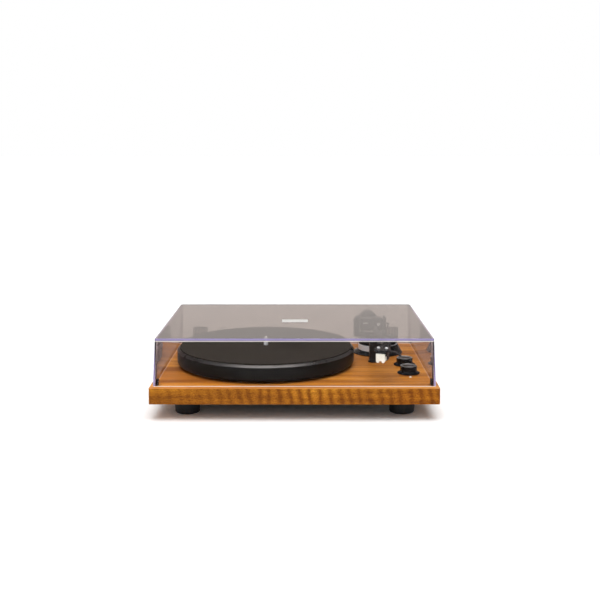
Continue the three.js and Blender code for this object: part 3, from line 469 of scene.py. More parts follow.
# %% Wood veneer
LINE_SCALE = (10, 460)  # along the grain and across it
PORE_SCALE = (110, 1300)
CURL_SCALE = 21
CURL_LEAN = 0.18  # in radians
DECK_TONES = ((0.2, 0.062, 0.008), (0.42, 0.16, 0.02), (0.64, 0.3, 0.05))
EDGE_TONES = ((0.27, 0.09, 0.006), (0.41, 0.15, 0.01), (0.56, 0.24, 0.02))


def drawn_out(material, scale, axis, shift):
    """Object coordinates scaled along and across one axis, which draws a pattern out along it."""
    along, across = scale
    scales = [across, across, across]
    scales[axis] = along
    return place_pattern(material, scales, shift=shift)


def veneer(name, tones, band_scale, shift, axis=0):
    """Bands, fine lines and pores along an axis. Returns the material, its shader and its colour."""
    dark, mid, light = tones
    material, shader = finish(name, mid, 0.42, Specular_IOR_Level=0.22)
    bands = noise(material, drawn_out(material, band_scale, axis, shift), detail=5, distortion=0.5)
    colour = ramp(material, bands, (0.3, dark), (0.5, mid), (0.7, light))
    lines = noise(material, drawn_out(material, LINE_SCALE, axis, shift), detail=5, roughness=0.65)
    shade = ramp(material, lines, (0.3, (0.66, 0.58, 0.5)), (0.62, (1.08, 1.06, 1.0)))
    colour = blend(material, "MULTIPLY", 0.7, colour, shade)
    pores = noise(material, drawn_out(material, PORE_SCALE, axis, shift), detail=2)
    pits = ramp(material, pores, (0.34, (0.42, 0.34, 0.25)), (0.46, (1, 1, 1)))
    colour = blend(material, "MULTIPLY", 0.6, colour, pits)
    bump(material, shader, pores, 0.04, 0.3)
    link(material, spread(material, lines, 0.3, 0.7, 0.36, 0.5), shader.inputs["Roughness"])
    return material, shader, colour


def deck_leaf():
    """The deck: straight grain, with a painted highlight that brightens its front left and painted shade
    that deepens its back.
    """
    material, shader, colour = veneer("deck_veneer_painted_light", DECK_TONES, (2.6, 42), (0, 0, 0))
    place = position(material)
    # Painted highlight: the colour is made brighter towards the front left.
    front = spread(material, place["Y"], 0.05, -0.16, 0, 1)
    left = spread(material, place["X"], 0.2, -0.15, 0.35, 1)
    colour = blend(material, "MULTIPLY", product(material, front, left), colour, (1.34, 1.24, 1.02))
    # Painted shade: the colour is made darker towards the back.
    back = spread(material, place["Y"], -0.12, 0.12, 0, 1)
    colour = blend(material, "MULTIPLY", back, colour, (0.8, 0.72, 0.66))
    link(material, colour, shader.inputs["Base Color"])
    return material


def curl(material):
    """Upright ripples a centimetre apart that lean and wander a little, as a colour."""
    waves = add_node(material, "ShaderNodeTexWave", wave_type="BANDS", bands_direction="X")
    link(material, place_pattern(material, (1, 1, 1), turn=(0, CURL_LEAN, 0)), waves.inputs["Vector"])
    for socket, value in (
        ("Scale", CURL_SCALE), ("Distortion", 3.2), ("Detail", 3), ("Detail Scale", 2.2),
        ("Detail Roughness", 0.6),
    ):
        waves.inputs[socket].default_value = value
    return ramp(
        material, waves.outputs["Fac"],
        (0.0, (0.55, 0.44, 0.32)), (0.5, (1, 1, 1)), (1.0, (1.26, 1.32, 1.45)),
    )


def front_leaf():
    """The front and back: the same wood with curl, stronger in patches and to the right."""
    material, shader, colour = veneer("front_veneer", EDGE_TONES, (5, 60), (1.7, 0, 0.3))
    shader.inputs["Specular IOR Level"].default_value = 0.1
    place = position(material)
    where = noise(material, place_pattern(material, (9, 3, 14), shift=(3, 0, 0)), detail=2)
    patches = spread(material, where, 0.35, 0.55, 0.5, 1)
    strength = spread(material, place["X"], -0.16, 0.02, 0.25, 0.95)
    colour = blend(material, "MULTIPLY", product(material, patches, strength), colour, curl(material))
    specks = noise(material, place_pattern(material, (420, 700, 900)), detail=2)
    grains = ramp(material, specks, (0.36, (0.6, 0.5, 0.4)), (0.5, (1, 1, 1)), (0.68, (1.3, 1.35, 1.6)))
    colour = blend(material, "MULTIPLY", 0.7, colour, grains)
    deeper = spread(material, place["X"], 0.03, 0.17, 0, 1)
    colour = blend(material, "MULTIPLY", deeper, colour, (0.74, 0.64, 0.5))
    link(material, colour, shader.inputs["Base Color"])
    return material


def side_leaf():
    """The two ends: straight grain that runs from front to back."""
    material, shader, colour = veneer("side_veneer", EDGE_TONES, (5, 60), (0, 0.9, 2.1), axis=1)
    link(material, colour, shader.inputs["Base Color"])
    return material


deck_veneer_painted_light = deck_leaf()
front_veneer = front_leaf()
side_veneer = side_leaf()
print("veneers:", deck_veneer_painted_light.name, front_veneer.name, side_veneer.name)

# %% [markdown]
# Dark finishes make up most of the rest. Moulded plastic has a faint sand-blasted grain, cast and painted
# metal is smoother, rubber is nearly matt, and felt has fibres that catch light at a glancing angle.

# %% Dark finishes
def grained(name, colour, roughness, grain, depth, patch=6, wear=0.06, **sockets):
    """A fine grain in millimetres pressed into the surface, with slow changes in its gloss."""
    sockets.setdefault("Specular_IOR_Level", 0.25)
    material, shader = finish(name, colour, roughness, **sockets)
    fine = noise(material, place_pattern(material, (1 / grain / MM,) * 3), detail=2)
    bump(material, shader, fine, depth, 0.4)
    slow = noise(material, place_pattern(material, (patch * 5,) * 3), detail=3)
    gloss = spread(material, slow, 0.3, 0.7, roughness - wear, roughness + wear)
    link(material, gloss, shader.inputs["Roughness"])
    bright = tuple(min(1, c * 1.5 + 0.004) for c in colour)
    link(material, ramp(material, slow, (0.3, colour), (0.75, bright)), shader.inputs["Base Color"])
    return material


black_plastic = grained(
    "moulded_black", (0.01, 0.0096, 0.0092), 0.38, 0.35, 0.012, Specular_IOR_Level=0.18
)
gloss_black = grained(
    "gloss_black", (0.005, 0.005, 0.0052), 0.16, 0.8, 0.004, wear=0.04, Specular_IOR_Level=0.16
)
foot_rubber = grained("foot_rubber", (0.012, 0.012, 0.0125), 0.62, 0.6, 0.03)
belt_rubber = grained("belt_rubber", (0.01, 0.01, 0.01), 0.55, 0.4, 0.02)
arm_black = grained("arm_black", (0.014, 0.014, 0.0155), 0.26, 0.5, 0.006, Metallic=0.3)
panel_paint = grained("panel_paint", (0.016, 0.016, 0.016), 0.5, 0.5, 0.02)
inner_plastic = grained("inner_plastic", (0.05, 0.05, 0.055), 0.55, 0.4, 0.02)
base_board = grained("base_board", (0.02, 0.018, 0.017), 0.75, 1.2, 0.05)


def felt(name, dark, light):
    material, shader = finish(
        name, light, 0.92, Sheen_Weight=0.06, Sheen_Roughness=0.5, Specular_IOR_Level=0.1
    )
    shader.inputs["Sheen Tint"].default_value = (0.55, 0.5, 0.46, 1)
    strands = place_pattern(material, (900, 900, 300))
    fibres = noise(material, strands, detail=4, roughness=0.7, distortion=1.5)
    clumps = noise(material, place_pattern(material, (110, 110, 40)), detail=3)
    colour = ramp(material, fibres, (0.3, dark), (0.7, light))
    shade = ramp(material, clumps, (0.3, (0.8, 0.8, 0.8)), (0.7, (1.15, 1.13, 1.1)))
    link(material, blend(material, "MULTIPLY", 0.8, colour, shade), shader.inputs["Base Color"])
    bump(material, shader, fibres, 0.12, 0.6)
    return material


mat_felt = felt("mat_felt", (0.01, 0.0075, 0.005), (0.03, 0.023, 0.0155))
print("dark finishes ready")

# %% [markdown]
# Metals are turned on a lathe and keep fine rings from the tool. A wave pattern about the piece's own
# axis would do, but a fine noise that is squeezed along the axis looks the same from any side. Brushed
# plate has its noise drawn out along X.

# %% Metals
def machined(name, colour, roughness, stretch, depth=0.006, metal=1):
    """Fine tool lines: a noise that is dense along one axis and slow along the others."""
    material, shader = finish(name, colour, roughness, Metallic=metal)
    lines = noise(material, place_pattern(material, stretch), detail=4, roughness=0.6)
    bump(material, shader, lines, depth, 0.5)
    gloss = spread(material, lines, 0.3, 0.7, roughness * 0.75, roughness * 1.3)
    link(material, gloss, shader.inputs["Roughness"])
    pale = tuple(min(1, c * 1.08) for c in colour)
    dull = tuple(c * 0.86 for c in colour)
    link(material, ramp(material, lines, (0.3, dull), (0.7, pale)), shader.inputs["Base Color"])
    return material


steel = machined("turned_steel", (0.62, 0.62, 0.63), 0.22, (60, 60, 2600))
silver = machined("silver_ring", (0.8, 0.8, 0.79), 0.3, (40, 40, 2200))
ring_silver = machined("base_ring_silver", (0.92, 0.92, 0.92), 0.34, (40, 40, 2200), metal=0.2)
brushed = machined("brushed_plate", (0.68, 0.67, 0.65), 0.34, (40, 2600, 2600), metal=0.3)
bright_steel = machined("bright_steel", (0.95, 0.95, 0.94), 0.3, (60, 60, 1500), metal=0.3)
brass = machined("turned_brass", (0.62, 0.43, 0.17), 0.28, (60, 60, 2600))
weight_black = machined("black_weight", (0.03, 0.03, 0.032), 0.3, (200, 1200, 200))
print("metals ready")

# %% [markdown]
# The dust cover is clear acrylic, a little smoky. Most of its look is physics: the top is seen at a low
# angle, so it mirrors the pale room, while the front wall is seen straight on and stays clear. Sides,
# back and top are tinted darker than the front, partly smoke and partly painted shade for walls seen at a
# slant. At the front edges, light that has run through centimetres of plastic comes out violet with a
# pale line below it, and the sawn lower rim glows faintly. These are painted light: strips found by their
# distance from the cover's own box get a violet or pale colour and let less light through, and the pale
# ones glow.

# %% Clear acrylic
FRONT_CLEAR = (0.985, 0.975, 0.985)
# Back, sides and top are darker than the front: a little real smoke, and painted shade for walls seen at
# a slant.
BACK_SMOKE_AND_SHADE = (0.55, 0.47, 0.42)
SIDE_SMOKE_AND_SHADE = (0.28, 0.21, 0.19)
TOP_SMOKE_AND_SHADE = (0.5, 0.47, 0.45)
EDGE_VIOLET = (0.42, 0.36, 0.66)
RIM_PALE = (0.75, 0.7, 0.66)
RIM_GLOW = 0.17  # light that the wall pipes down to its sawn rim
EDGE_LIGHT_CLEARNESS = 0.4  # the clearness left in a strip of painted edge light
SMOKE_INSIDE = (0.62, 0.5, 0.93, 1)
SMOKE_DENSITY = 9


def acrylic():
    """A clear front wall, a top, sides and back darkened by smoke and painted shade, and strips of
    painted light at the front edges and lower rim.
    """
    material, shader = finish("clear_acrylic", (1, 1, 1), 0.012, Transmission_Weight=1, IOR=1.49)
    shader.inputs["Specular Tint"].default_value = (0.05, 0.05, 0.055, 1)
    low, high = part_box("dust_cover")
    place = position(material)
    sideways = maths(material, "ABSOLUTE", place["X"], 0)

    def strip(value, edge, start, stop):
        """From 0 to 1 between two distances in millimetres from an edge of the box."""
        return spread(material, value, edge + start * MM, edge + stop * MM, 0, 1)

    # Painted shade: the walls behind and beside the front, and the top, get darker tints than the front.
    tint = blend(material, "MIX", strip(place["Y"], high.y, -7.2, -6.4), FRONT_CLEAR, BACK_SMOKE_AND_SHADE)
    tint = blend(material, "MIX", strip(sideways, high.x, -7.4, -6.4), tint, SIDE_SMOKE_AND_SHADE)
    tint = blend(material, "MIX", strip(place["Z"], high.z, -5, -3.6), tint, TOP_SMOKE_AND_SHADE)

    # Painted light: violet strips at the front edges, and pale strips below the brow and at the lower
    # rim, stand in for light piped through the plastic.
    front = strip(place["Y"], low.y, 5.4, 4.9)
    brow = product(material, strip(place["Z"], high.z, -3.1, -2.7), front)
    post = product(material, strip(sideways, high.x, -4.3, -3.5), front)
    violet = greater(material, brow, post)
    from_below = strip(place["Z"], high.z, -4.6, -4.4)
    from_above = strip(place["Z"], high.z, -3.2, -3.4)
    below_brow = product(material, product(material, from_below, from_above), front)
    pale = greater(material, strip(place["Z"], low.z, 0.9, 0.7), below_brow)

    colour = blend(material, "MIX", violet, tint, EDGE_VIOLET)
    link(material, blend(material, "MIX", pale, colour, RIM_PALE), shader.inputs["Base Color"])
    clearness = spread(material, greater(material, violet, pale), 0, 1, 1, EDGE_LIGHT_CLEARNESS)
    link(material, clearness, shader.inputs["Transmission Weight"])
    shader.inputs["Emission Color"].default_value = (1, 0.95, 0.88, 1)
    link(material, spread(material, pale, 0, 1, 0, RIM_GLOW), shader.inputs["Emission Strength"])

    inside = add_node(material, "ShaderNodeVolumeAbsorption")
    inside.inputs["Color"].default_value = SMOKE_INSIDE
    inside.inputs["Density"].default_value = SMOKE_DENSITY
    output = material.node_tree.nodes["Material Output"]
    link(material, inside.outputs["Volume"], output.inputs["Volume"])
    return material


clear_acrylic = acrylic()
print("acrylic ready:", clear_acrylic.name)

# %% [markdown]
# A few small finishes remain: the ivory plastic of the stylus holder, the lens of the power light, the
# green circuit board, white print for scale marks and the red and white insulators of the sockets.

# %% Small finishes
ivory = grained("ivory_plastic", (0.76, 0.72, 0.6), 0.35, 0.5, 0.006)
lens_plastic = grained("lens_plastic", (0.75, 0.72, 0.62), 0.15, 0.8, 0.003, wear=0.03)
board_green = grained("board_green", (0.012, 0.09, 0.04), 0.4, 0.6, 0.02)
white_print = grained("white_print", (0.7, 0.7, 0.69), 0.5, 0.4, 0.002)
red_plastic = grained("red_plastic", (0.5, 0.02, 0.015), 0.35, 0.5, 0.008)
print("small finishes ready")

# %% [markdown]
# The plinth is a veneered box with a hollow for the works and holes for all that passes through the deck.
# The CAD part already has every hole, so a merged copy of it keeps them, and a narrow softened edge is
# all that a lacquered box adds. Front and back get the curly leaf, the ends their own, the rest the
# deck's.

# %% Plinth
def plinth():
    bm = from_cad("plinth", edge=0.7, segments=3)
    bm.faces.ensure_lookup_table()
    for face in bm.faces:
        if abs(face.normal.z) < 0.5:
            face.material_index = 2 if abs(face.normal.x) > 0.7 else 1
        else:
            face.material_index = 0
    leaves = [deck_veneer_painted_light, front_veneer, side_veneer]
    return piece("plinth_body", bm, "chassis", "plinth", leaves, smooth=40)


plinth()
_, plinth_low, plinth_high = middle("plinth")
DECK = plinth_high.z
print("deck at", round(DECK, 2), "mm, plinth", round(plinth_high.x - plinth_low.x), "mm wide")

# %% [markdown]
# Each foot is a moulded rubber puck: straight side, a shallow groove near the top where the mould parts,
# and a rounded tread. It is turned from a profile whose tread is an arc.

# %% Feet and bottom cover
FOOT_TREAD = 3.5  # radius of the rounded lower edge


def foot(node):
    _, low, high = middle(node)
    radius = (high.x - low.x) / 2
    tall = high.z
    profile = [
        (0, 1.2),
        (radius - 13, 1.2),
        (radius - 12, 0),
        *arc((radius - 0.6 - FOOT_TREAD, FOOT_TREAD), FOOT_TREAD, -90, 0, 6),
        (radius - 0.3, tall * 0.45),
        (radius, tall * 0.5),
        (radius, tall - 5),
        (radius - 1, tall - 4.4),
        (radius - 1, tall - 3.4),
        (radius, tall - 2.8),
        (radius, tall),
        (0, tall),
    ]
    round_part(node, node + "_rubber", profile, foot_rubber, steps=96, edge=0.2)


for end in ("front", "rear"):
    for side in ("left", "right"):
        foot(f"foot_{end}_{side}")

softened("bottom_cover", "bottom_board", base_board, edge=0.3)


def cross_screw(radius, tall):
    """A pan-head screw at the origin, head up."""
    profile = [(0, 0), (radius, 0), (radius, tall * 0.35), *arc((0, 0), radius, 32, 90, 6)]
    profile = [(r, min(z, tall)) for r, z in profile[:-1]] + [(0, tall)]
    return turned(profile, steps=32, edge=0)


bottom_mid, bottom_low, bottom_high = middle("bottom_cover")
SCREW_INSET = 10
for index, (side, end) in enumerate([(-1, -1), (1, -1), (-1, 1), (1, 1), (0, -1), (0, 1)]):
    x = bottom_mid.x + side * ((bottom_high.x - bottom_low.x) / 2 - SCREW_INSET)
    y = bottom_mid.y + end * ((bottom_high.y - bottom_low.y) / 2 - SCREW_INSET)
    turn = upright(x, y, bottom_low.z + 0.1) @ Matrix.Rotation(math.pi, 4, "X")
    piece(f"bottom_screw_{index + 1}", moved(cross_screw(3.4, 1.6), turn), "chassis", None, steel)
print("feet and bottom cover made")

# %% [markdown]
# The platter is a casting turned all over: a hub, a ring that takes the belt, a thin web and a heavy rim.
# Its rim has a flat side, a bevel above it that catches the light, and a rounded lower edge. One profile
# holds it all, and a spin in many steps keeps the big circle smooth.

# %% Platter, mat and spindle
PLATTER_STEPS = 256
RIM_LOWER_ROUND = 5


def platter():
    mid, low, high = middle("platter")
    radius = (high.x - low.x) / 2
    bore = 3.9
    web = high.z - 5
    ring = DECK + 8
    profile = [
        (bore, ring),
        (12, ring),
        (12, web),
        (92, web),
        (92, ring),
        (96, ring),
        (96, web),
        (radius - 7, web),
        (radius - 7, low.z),
        *arc((radius - RIM_LOWER_ROUND, low.z + RIM_LOWER_ROUND), RIM_LOWER_ROUND, -90, 0, 6),
        (radius, high.z - 4.2),
        *arc((radius - 1.2, high.z - 4.0), 1.2, 0, 38, 3),
        (radius - 3.2, high.z - 0.6),
        (radius - 4.4, high.z),
        (bore, high.z),
    ]
    bm = moved(turned(profile, steps=PLATTER_STEPS, edge=0.25), upright(mid.x, mid.y))
    for face in bm.faces:
        middle_of_face = face.calc_center_median() / MM
        reach = math.hypot(middle_of_face.x - mid.x, middle_of_face.y - mid.y)
        face.material_index = 1 if reach > radius - 4.2 and middle_of_face.z > high.z - 4.1 else 0
    piece("platter_casting", bm, "platter", "platter", [platter_black, rim_silver])


def slip_mat():
    _, low, high = middle("slip_mat")
    radius = (high.x - low.x) / 2
    profile = [
        (3.9, low.z),
        (radius, low.z),
        (radius, high.z),
        (53, high.z),
        (52.2, high.z - 0.35),
        (51.4, high.z),
        (3.9, high.z),
    ]
    thing = round_part(
        "slip_mat", "slip_mat_felt", profile, mat_felt, steps=PLATTER_STEPS, edge=0.15
    )


def spindle():
    _, low, high = middle("spindle")
    radius = (high.x - low.x) / 2
    profile = [
        (0, low.z),
        (radius - 0.6, low.z),
        (radius, low.z + 0.8),
        (radius, high.z - 5),
        *arc((radius - 4.2, high.z - 5), 4.2, 0, 58, 5),
        (0, high.z),
    ]
    round_part("spindle", "spindle_pin", profile, bright_steel, steps=48, edge=0)


platter_black = grained(
    "platter_black", (0.0045, 0.0045, 0.0036), 0.34, 0.8, 0.002, wear=0.03, Specular_IOR_Level=0.08
)
rim_silver = grained("rim_silver", (0.1, 0.098, 0.094), 0.3, 0.3, 0.002, wear=0.04, Metallic=1)
platter()
slip_mat()
spindle()
print("platter, mat and spindle made")

# %% [markdown]
# Under the platter are the bearing, the motor with its pulley, and the flat rubber belt. They show only
# when the platter is lifted, so a merged copy of the CAD part is enough for the belt, and the turned
# parts are spun again in finer steps.

# %% Bearing, motor and belt
_, bearing_low, bearing_high = middle("bearing_housing")
round_part("bearing_housing", "bearing_bush", [
    (0, bearing_low.z),
    (7, bearing_low.z),
    (7, DECK + 0.3),
    (14, DECK + 0.3),
    (14, DECK + 2.5),
    (7, DECK + 2.5),
    (7, bearing_high.z),
    (3.9, bearing_high.z),
    (3.9, bearing_low.z + 2.7),
    (0, bearing_low.z + 2.7),
], brass, steps=64)

softened("motor_can", "motor_body", steel, edge=0.4)
softened("drive_belt", "belt_band", belt_rubber, edge=0.12, segments=1)

_, pulley_low, pulley_high = middle("motor_pulley")
round_part("motor_pulley", "pulley_wheel", [
    (1.8, pulley_low.z),
    (7.3, pulley_low.z),
    (7.3, pulley_low.z + 1.2),
    (5.5, pulley_low.z + 2.4),
    (5.5, pulley_high.z - 1.8),
    (6.7, pulley_high.z - 1),
    (6.7, pulley_high.z),
    (1.8, pulley_high.z),
], brass, steps=64, edge=0.2)


def pin_along_z(node, name, material, round_end=0.5):
    """A plain round shaft that fills its CAD part's box, with chamfered ends."""
    _, low, high = middle(node)
    radius = (high.x - low.x) / 2
    profile = [(0, low.z), (radius, low.z), (radius, high.z), (0, high.z)]
    round_part(node, name, profile, material, steps=48, edge=round_end)


pin_along_z("motor_shaft", "motor_axle", steel, 0.3)
pin_along_z("volume_shaft", "volume_stem", silver)
pin_along_z("selector_shaft", "selector_stem", silver)
softened("volume_pot", "volume_unit", inner_plastic, edge=0.5)
softened("selector_switch", "selector_unit", inner_plastic, edge=0.5)
print("drive and controls made")

# %% [markdown]
# The knobs are black with a wide flared foot and a raised rim round a dished top. The rim has a grey
# metallic finish, a painted highlight that draws a bright ring. The flare is an arc. A grey line on the
# top shows where each knob points.

# %% Knobs and power light
KNOB_FLARE = 3.4
KNOB_GRIP = 13.4  # radius of the upright part
KNOB_BORE = 3.3
KNOB_DISH = 1  # depth of the dished top


def knob(node, name, body):
    mid, low, high = middle(node)
    skirt = (high.x - low.x) / 2
    grip = KNOB_GRIP
    dish = high.z - KNOB_DISH
    profile = [
        (KNOB_BORE, low.z),
        (skirt, low.z),
        (skirt, low.z + 1.1),
        (skirt - 1.0, low.z + 1.6),
        *arc((grip + KNOB_FLARE, low.z + 1.6 + KNOB_FLARE), KNOB_FLARE, 265, 180, 6),
        (grip, high.z - 1),
        *arc((grip - 1, high.z - 1), 1, 0, 90, 4),
        (grip - 2.2, high.z),
        (grip - 2.9, high.z - 0.7),
        (KNOB_BORE, dish),
    ]
    plug = [(0, high.z - 3), (KNOB_BORE, high.z - 3), (KNOB_BORE, dish + 0.02), (0, dish)]
    whole = together(turned(profile, steps=96, edge=0), turned(plug, steps=48, edge=0))
    for face in whole.faces:
        spot = face.calc_center_median() / MM
        # Faces on the rim take the finish that paints the highlight.
        on_highlight_rim = spot.z > high.z - 0.95 and grip - 3 < math.hypot(spot.x, spot.y) < grip - 0.2
        face.material_index = 1 if on_highlight_rim else 0
    at = upright(mid.x, mid.y)
    piece(name, moved(whole, at), body, node, [knob_black, knob_rim_painted_highlight])
    line = block(
        (mid.x - 0.55, mid.y - grip + 2.9, high.z - 1.1),
        (mid.x + 0.55, mid.y - 3.5, high.z - 0.75),
        edge=0.08,
    )
    piece(name + "_line", line, body, None, grey_print)


knob_black = grained(
    "knob_black", (0.004, 0.004, 0.0042), 0.2, 0.7, 0.004, wear=0.05, Specular_IOR_Level=0.14
)
# Painted highlight: a grey metallic finish on the black knob's rim stands in for a reflection.
knob_rim_painted_highlight = grained("knob_rim_painted_highlight", (0.3, 0.3, 0.29), 0.28, 0.7, 0.003, wear=0.05, Metallic=0.7)
grey_print = grained("grey_print", (0.12, 0.12, 0.12), 0.5, 0.4, 0.002)
knob("volume_knob", "volume_knob_cap", "volume_control")
knob("selector_knob", "selector_knob_cap", "selector_control")

_, lens_low, lens_high = middle("power_lens")
round_part("power_lens", "power_light", [
    (0, lens_low.z),
    (2, lens_low.z),
    (2, DECK + 0.2),
    *arc((0, DECK - 0.6), 2.05, 25, 90, 6)[:-1],
    (0, lens_high.z),
], lens_plastic, steps=32, edge=0)
print("knobs made")

# %% [markdown]
# The dust cover is moulded in one piece, a thin box that leans in a little towards its top. Here it is
# two boxes, an outer and an inner skin, with the same rounded corners. Their open lower rims are bridged,
# which gives the wall its real thickness everywhere. Refraction needs that thickness to be right.

# %% Dust cover
COVER_WALL = 3.2
COVER_LEAN = (3.2, 3.0)  # how far a wall leans in over its height, along X and Y
COVER_CORNER = 5
COVER_BROW = 1.5  # rounding between the walls and the top


def rim_order(vert):
    return math.atan2(vert.co.y - cover_middle.y, vert.co.x - cover_middle.x)


def cover_skin(bm, inset, top):
    """One skin of the cover: five sides of a leaning box, open below. Returns its rim, in order."""
    low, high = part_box("dust_cover")
    size = high - low
    others = set(bm.verts)
    cube = bmesh.ops.create_cube(bm, size=1)["verts"]
    bmesh.ops.scale(bm, vec=(size.x - 2 * inset * MM, size.y - 2 * inset * MM, top * MM), verts=cube)
    bmesh.ops.translate(bm, vec=(cover_middle.x, cover_middle.y, low.z + top * MM / 2), verts=cube)
    for vert in cube:
        part = (vert.co.z - low.z) / size.z
        vert.co.x -= math.copysign(COVER_LEAN[0] * MM * part, vert.co.x - cover_middle.x)
        vert.co.y -= math.copysign(COVER_LEAN[1] * MM * part, vert.co.y - cover_middle.y)
    open_side = [f for f in bm.faces if all(v in cube and v.co.z < low.z + 1e-5 for v in f.verts)]
    bmesh.ops.delete(bm, geom=open_side, context="FACES_ONLY")

    def own(edges):
        return [e for e in edges if not (e.verts[0] in others or e.verts[1] in others)]

    def rounded(edges, radius, segments):
        bmesh.ops.bevel(
            bm, geom=edges, offset=radius * MM, segments=segments, profile=0.5,
            affect="EDGES", material=-1,
        )

    posts = [e for e in own(bm.edges) if abs(e.verts[0].co.z - e.verts[1].co.z) > size.z / 2]
    corner = COVER_CORNER - 0.8 * inset
    rounded(posts, corner, 6)
    closed = [e for e in own(bm.edges) if len(e.link_faces) == 2]
    brow = [e for e in closed if e.calc_face_angle(0) > math.radians(60)]
    rounded(brow, COVER_BROW if inset == 0 else COVER_BROW / 3, 4)
    rim = {v for e in own(bm.edges) if e.is_boundary for v in e.verts}
    return sorted(rim, key=rim_order)


def dust_cover():
    low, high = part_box("dust_cover")
    tall = (high.z - low.z) / MM
    bm = bmesh.new()
    outer = cover_skin(bm, 0, tall)
    inner = cover_skin(bm, COVER_WALL, tall - COVER_WALL)
    for index in range(len(outer)):
        following = (index + 1) % len(outer)
        bm.faces.new((outer[index], outer[following], inner[following], inner[index]))
    tidy(bm)
    thing = piece("cover_shell", bm, "cover", "dust_cover", clear_acrylic, smooth=30)
    thing.visible_shadow = False
    thing.visible_diffuse = False
    return thing


cover_middle = sum(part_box("dust_cover"), Vector()) / 2
cover = dust_cover()
_, badge_low, badge_high = middle("cover_badge")
BADGE_THICKNESS = 0.28
badge_front = (badge_low.x, badge_low.y, badge_high.z - BADGE_THICKNESS)
badge = block(badge_front, badge_high, edge=0.12, corner=1.5)
piece("blank_plate", badge, "cover", "cover_badge", brushed)

for side in ("left", "right"):
    node = "cover_bumper_" + side
    mid, low, high = middle(node)
    pad = block(low, high, edge=0.8, segments=3)
    piece("bumper_" + side, pad, "cover", node, foot_rubber)
print("cover box", [round(v, 4) for v in cover.dimensions])

# %% [markdown]
# Each hinge has a base screwed to the plinth's back, a leaf fixed to the cover and a pin through both.
# The leaf's face has upright ribs, which show through the clear wall from the front. The ribs are pale
# grey, a painted highlight on their crests.

# %% Hinges
RIB_COUNT = 5
RIB_HALF = 1.2  # half of a rib's width
RIB_DEPTH = 0.22
RIB_RANGE = (12, 27)  # height above the deck
# Painted highlight: pale grey ribs on a black leaf stand in for light on their crests.
rib_painted_highlight = grained("rib_painted_highlight", (0.85, 0.82, 0.81), 0.4, 0.5, 0.01)


def hinge(side):
    _, leaf_low, leaf_high = middle("hinge_leaf_" + side)
    softened("hinge_leaf_" + side, f"hinge_leaf_{side}_pad", black_plastic)
    pad_face = leaf_low.y
    span = leaf_high.x - leaf_low.x
    ribs = []
    for index in range(RIB_COUNT):
        x = leaf_low.x + span * (index + 0.5) / RIB_COUNT
        low = (x - RIB_HALF, pad_face - RIB_DEPTH, DECK + RIB_RANGE[0])
        high = (x + RIB_HALF, pad_face + 0.4, DECK + RIB_RANGE[1])
        ribs.append(block(low, high, edge=0.12))
    piece(f"hinge_leaf_{side}_ribs", together(*ribs), "cover", None, rib_painted_highlight)
    softened("hinge_base_" + side, f"hinge_base_{side}_block", black_plastic)
    pin_mid, pin_low, pin_high = middle("hinge_pin_" + side)
    radius = (pin_high.z - pin_low.z) / 2
    length = pin_high.x - pin_low.x
    pin = turned([(0, 0), (radius, 0), (radius, length), (0, length)], steps=32, edge=0.3)
    pin = moved(pin, upright(pin_low.x, pin_mid.y, pin_mid.z) @ LAID_RIGHT)
    piece(f"hinge_pin_{side}_rod", pin, "chassis", "hinge_pin_" + side, steel)
    base_mid, _, _ = middle("hinge_base_" + side)
    for name, z in (("upper", DECK - 8), ("lower", DECK - 17)):
        screw = moved(cross_screw(2.6, 1.3), upright(base_mid.x, plinth_high.y + 3.45, z) @ LAID_BACK)
        piece(f"hinge_screw_{side}_{name}", screw, "chassis", None, steel)


for side in ("left", "right"):
    hinge(side)
print("hinges made")

# %% [markdown]
# The tonearm stands on a round base: a flared black skirt, a bright turned ring and a black top that
# carries the lift and the anti-skate dial. They are lathe work, except the top plate, whose holes come
# from CAD.

# %% Tonearm base
skirt_mid, skirt_low, skirt_high = middle("arm_base_skirt")
SKIRT_RADIUS = (skirt_high.x - skirt_low.x) / 2
RING_RADIUS = 34
SHOULDER_START = 4  # the shoulder's left end, from the middle of the base


def base_skirt():
    """A flared foot, and on the right a shoulder that rises outside the ring."""
    flare = turned([
        (22, skirt_low.z),
        (SKIRT_RADIUS, skirt_low.z),
        (SKIRT_RADIUS, skirt_low.z + 1.2),
        (SKIRT_RADIUS - 3, skirt_low.z + 2.0),
        (SKIRT_RADIUS - 6, skirt_low.z + 3.0),
        (RING_RADIUS + 1.4, skirt_low.z + 4.6),
        (RING_RADIUS, DECK + 6),
        (22, DECK + 6),
    ])
    shoulder = turned([
        (RING_RADIUS + 0.3, skirt_low.z + 0.7),
        (SKIRT_RADIUS - 1, skirt_low.z + 0.7),
        (SKIRT_RADIUS - 1, skirt_low.z + 1.9),
        (RING_RADIUS + 1.3, skirt_high.z),
        (RING_RADIUS + 0.3, skirt_high.z),
    ], edge=0)
    bmesh.ops.bisect_plane(
        shoulder, geom=shoulder.verts[:] + shoulder.edges[:] + shoulder.faces[:],
        plane_co=(SHOULDER_START * MM, 0, 0), plane_no=(1, 0, 0), clear_inner=True,
    )
    bmesh.ops.holes_fill(shoulder, edges=[e for e in shoulder.edges if e.is_boundary])
    soften(tidy(shoulder), 0.3)
    whole = moved(together(flare, shoulder), upright(skirt_mid.x, skirt_mid.y))
    piece("base_skirt", whole, "chassis", "arm_base_skirt", gloss_black)


base_skirt()

_, ring_low, ring_high = middle("arm_base_ring")
round_part("arm_base_ring", "base_ring", [
    (RING_RADIUS - 3, ring_low.z),
    (RING_RADIUS, ring_low.z),
    (RING_RADIUS, ring_high.z),
    (RING_RADIUS - 3, ring_high.z),
], ring_silver, edge=0.5)

softened("arm_base_top", "base_top", black_plastic, edge=0.3)

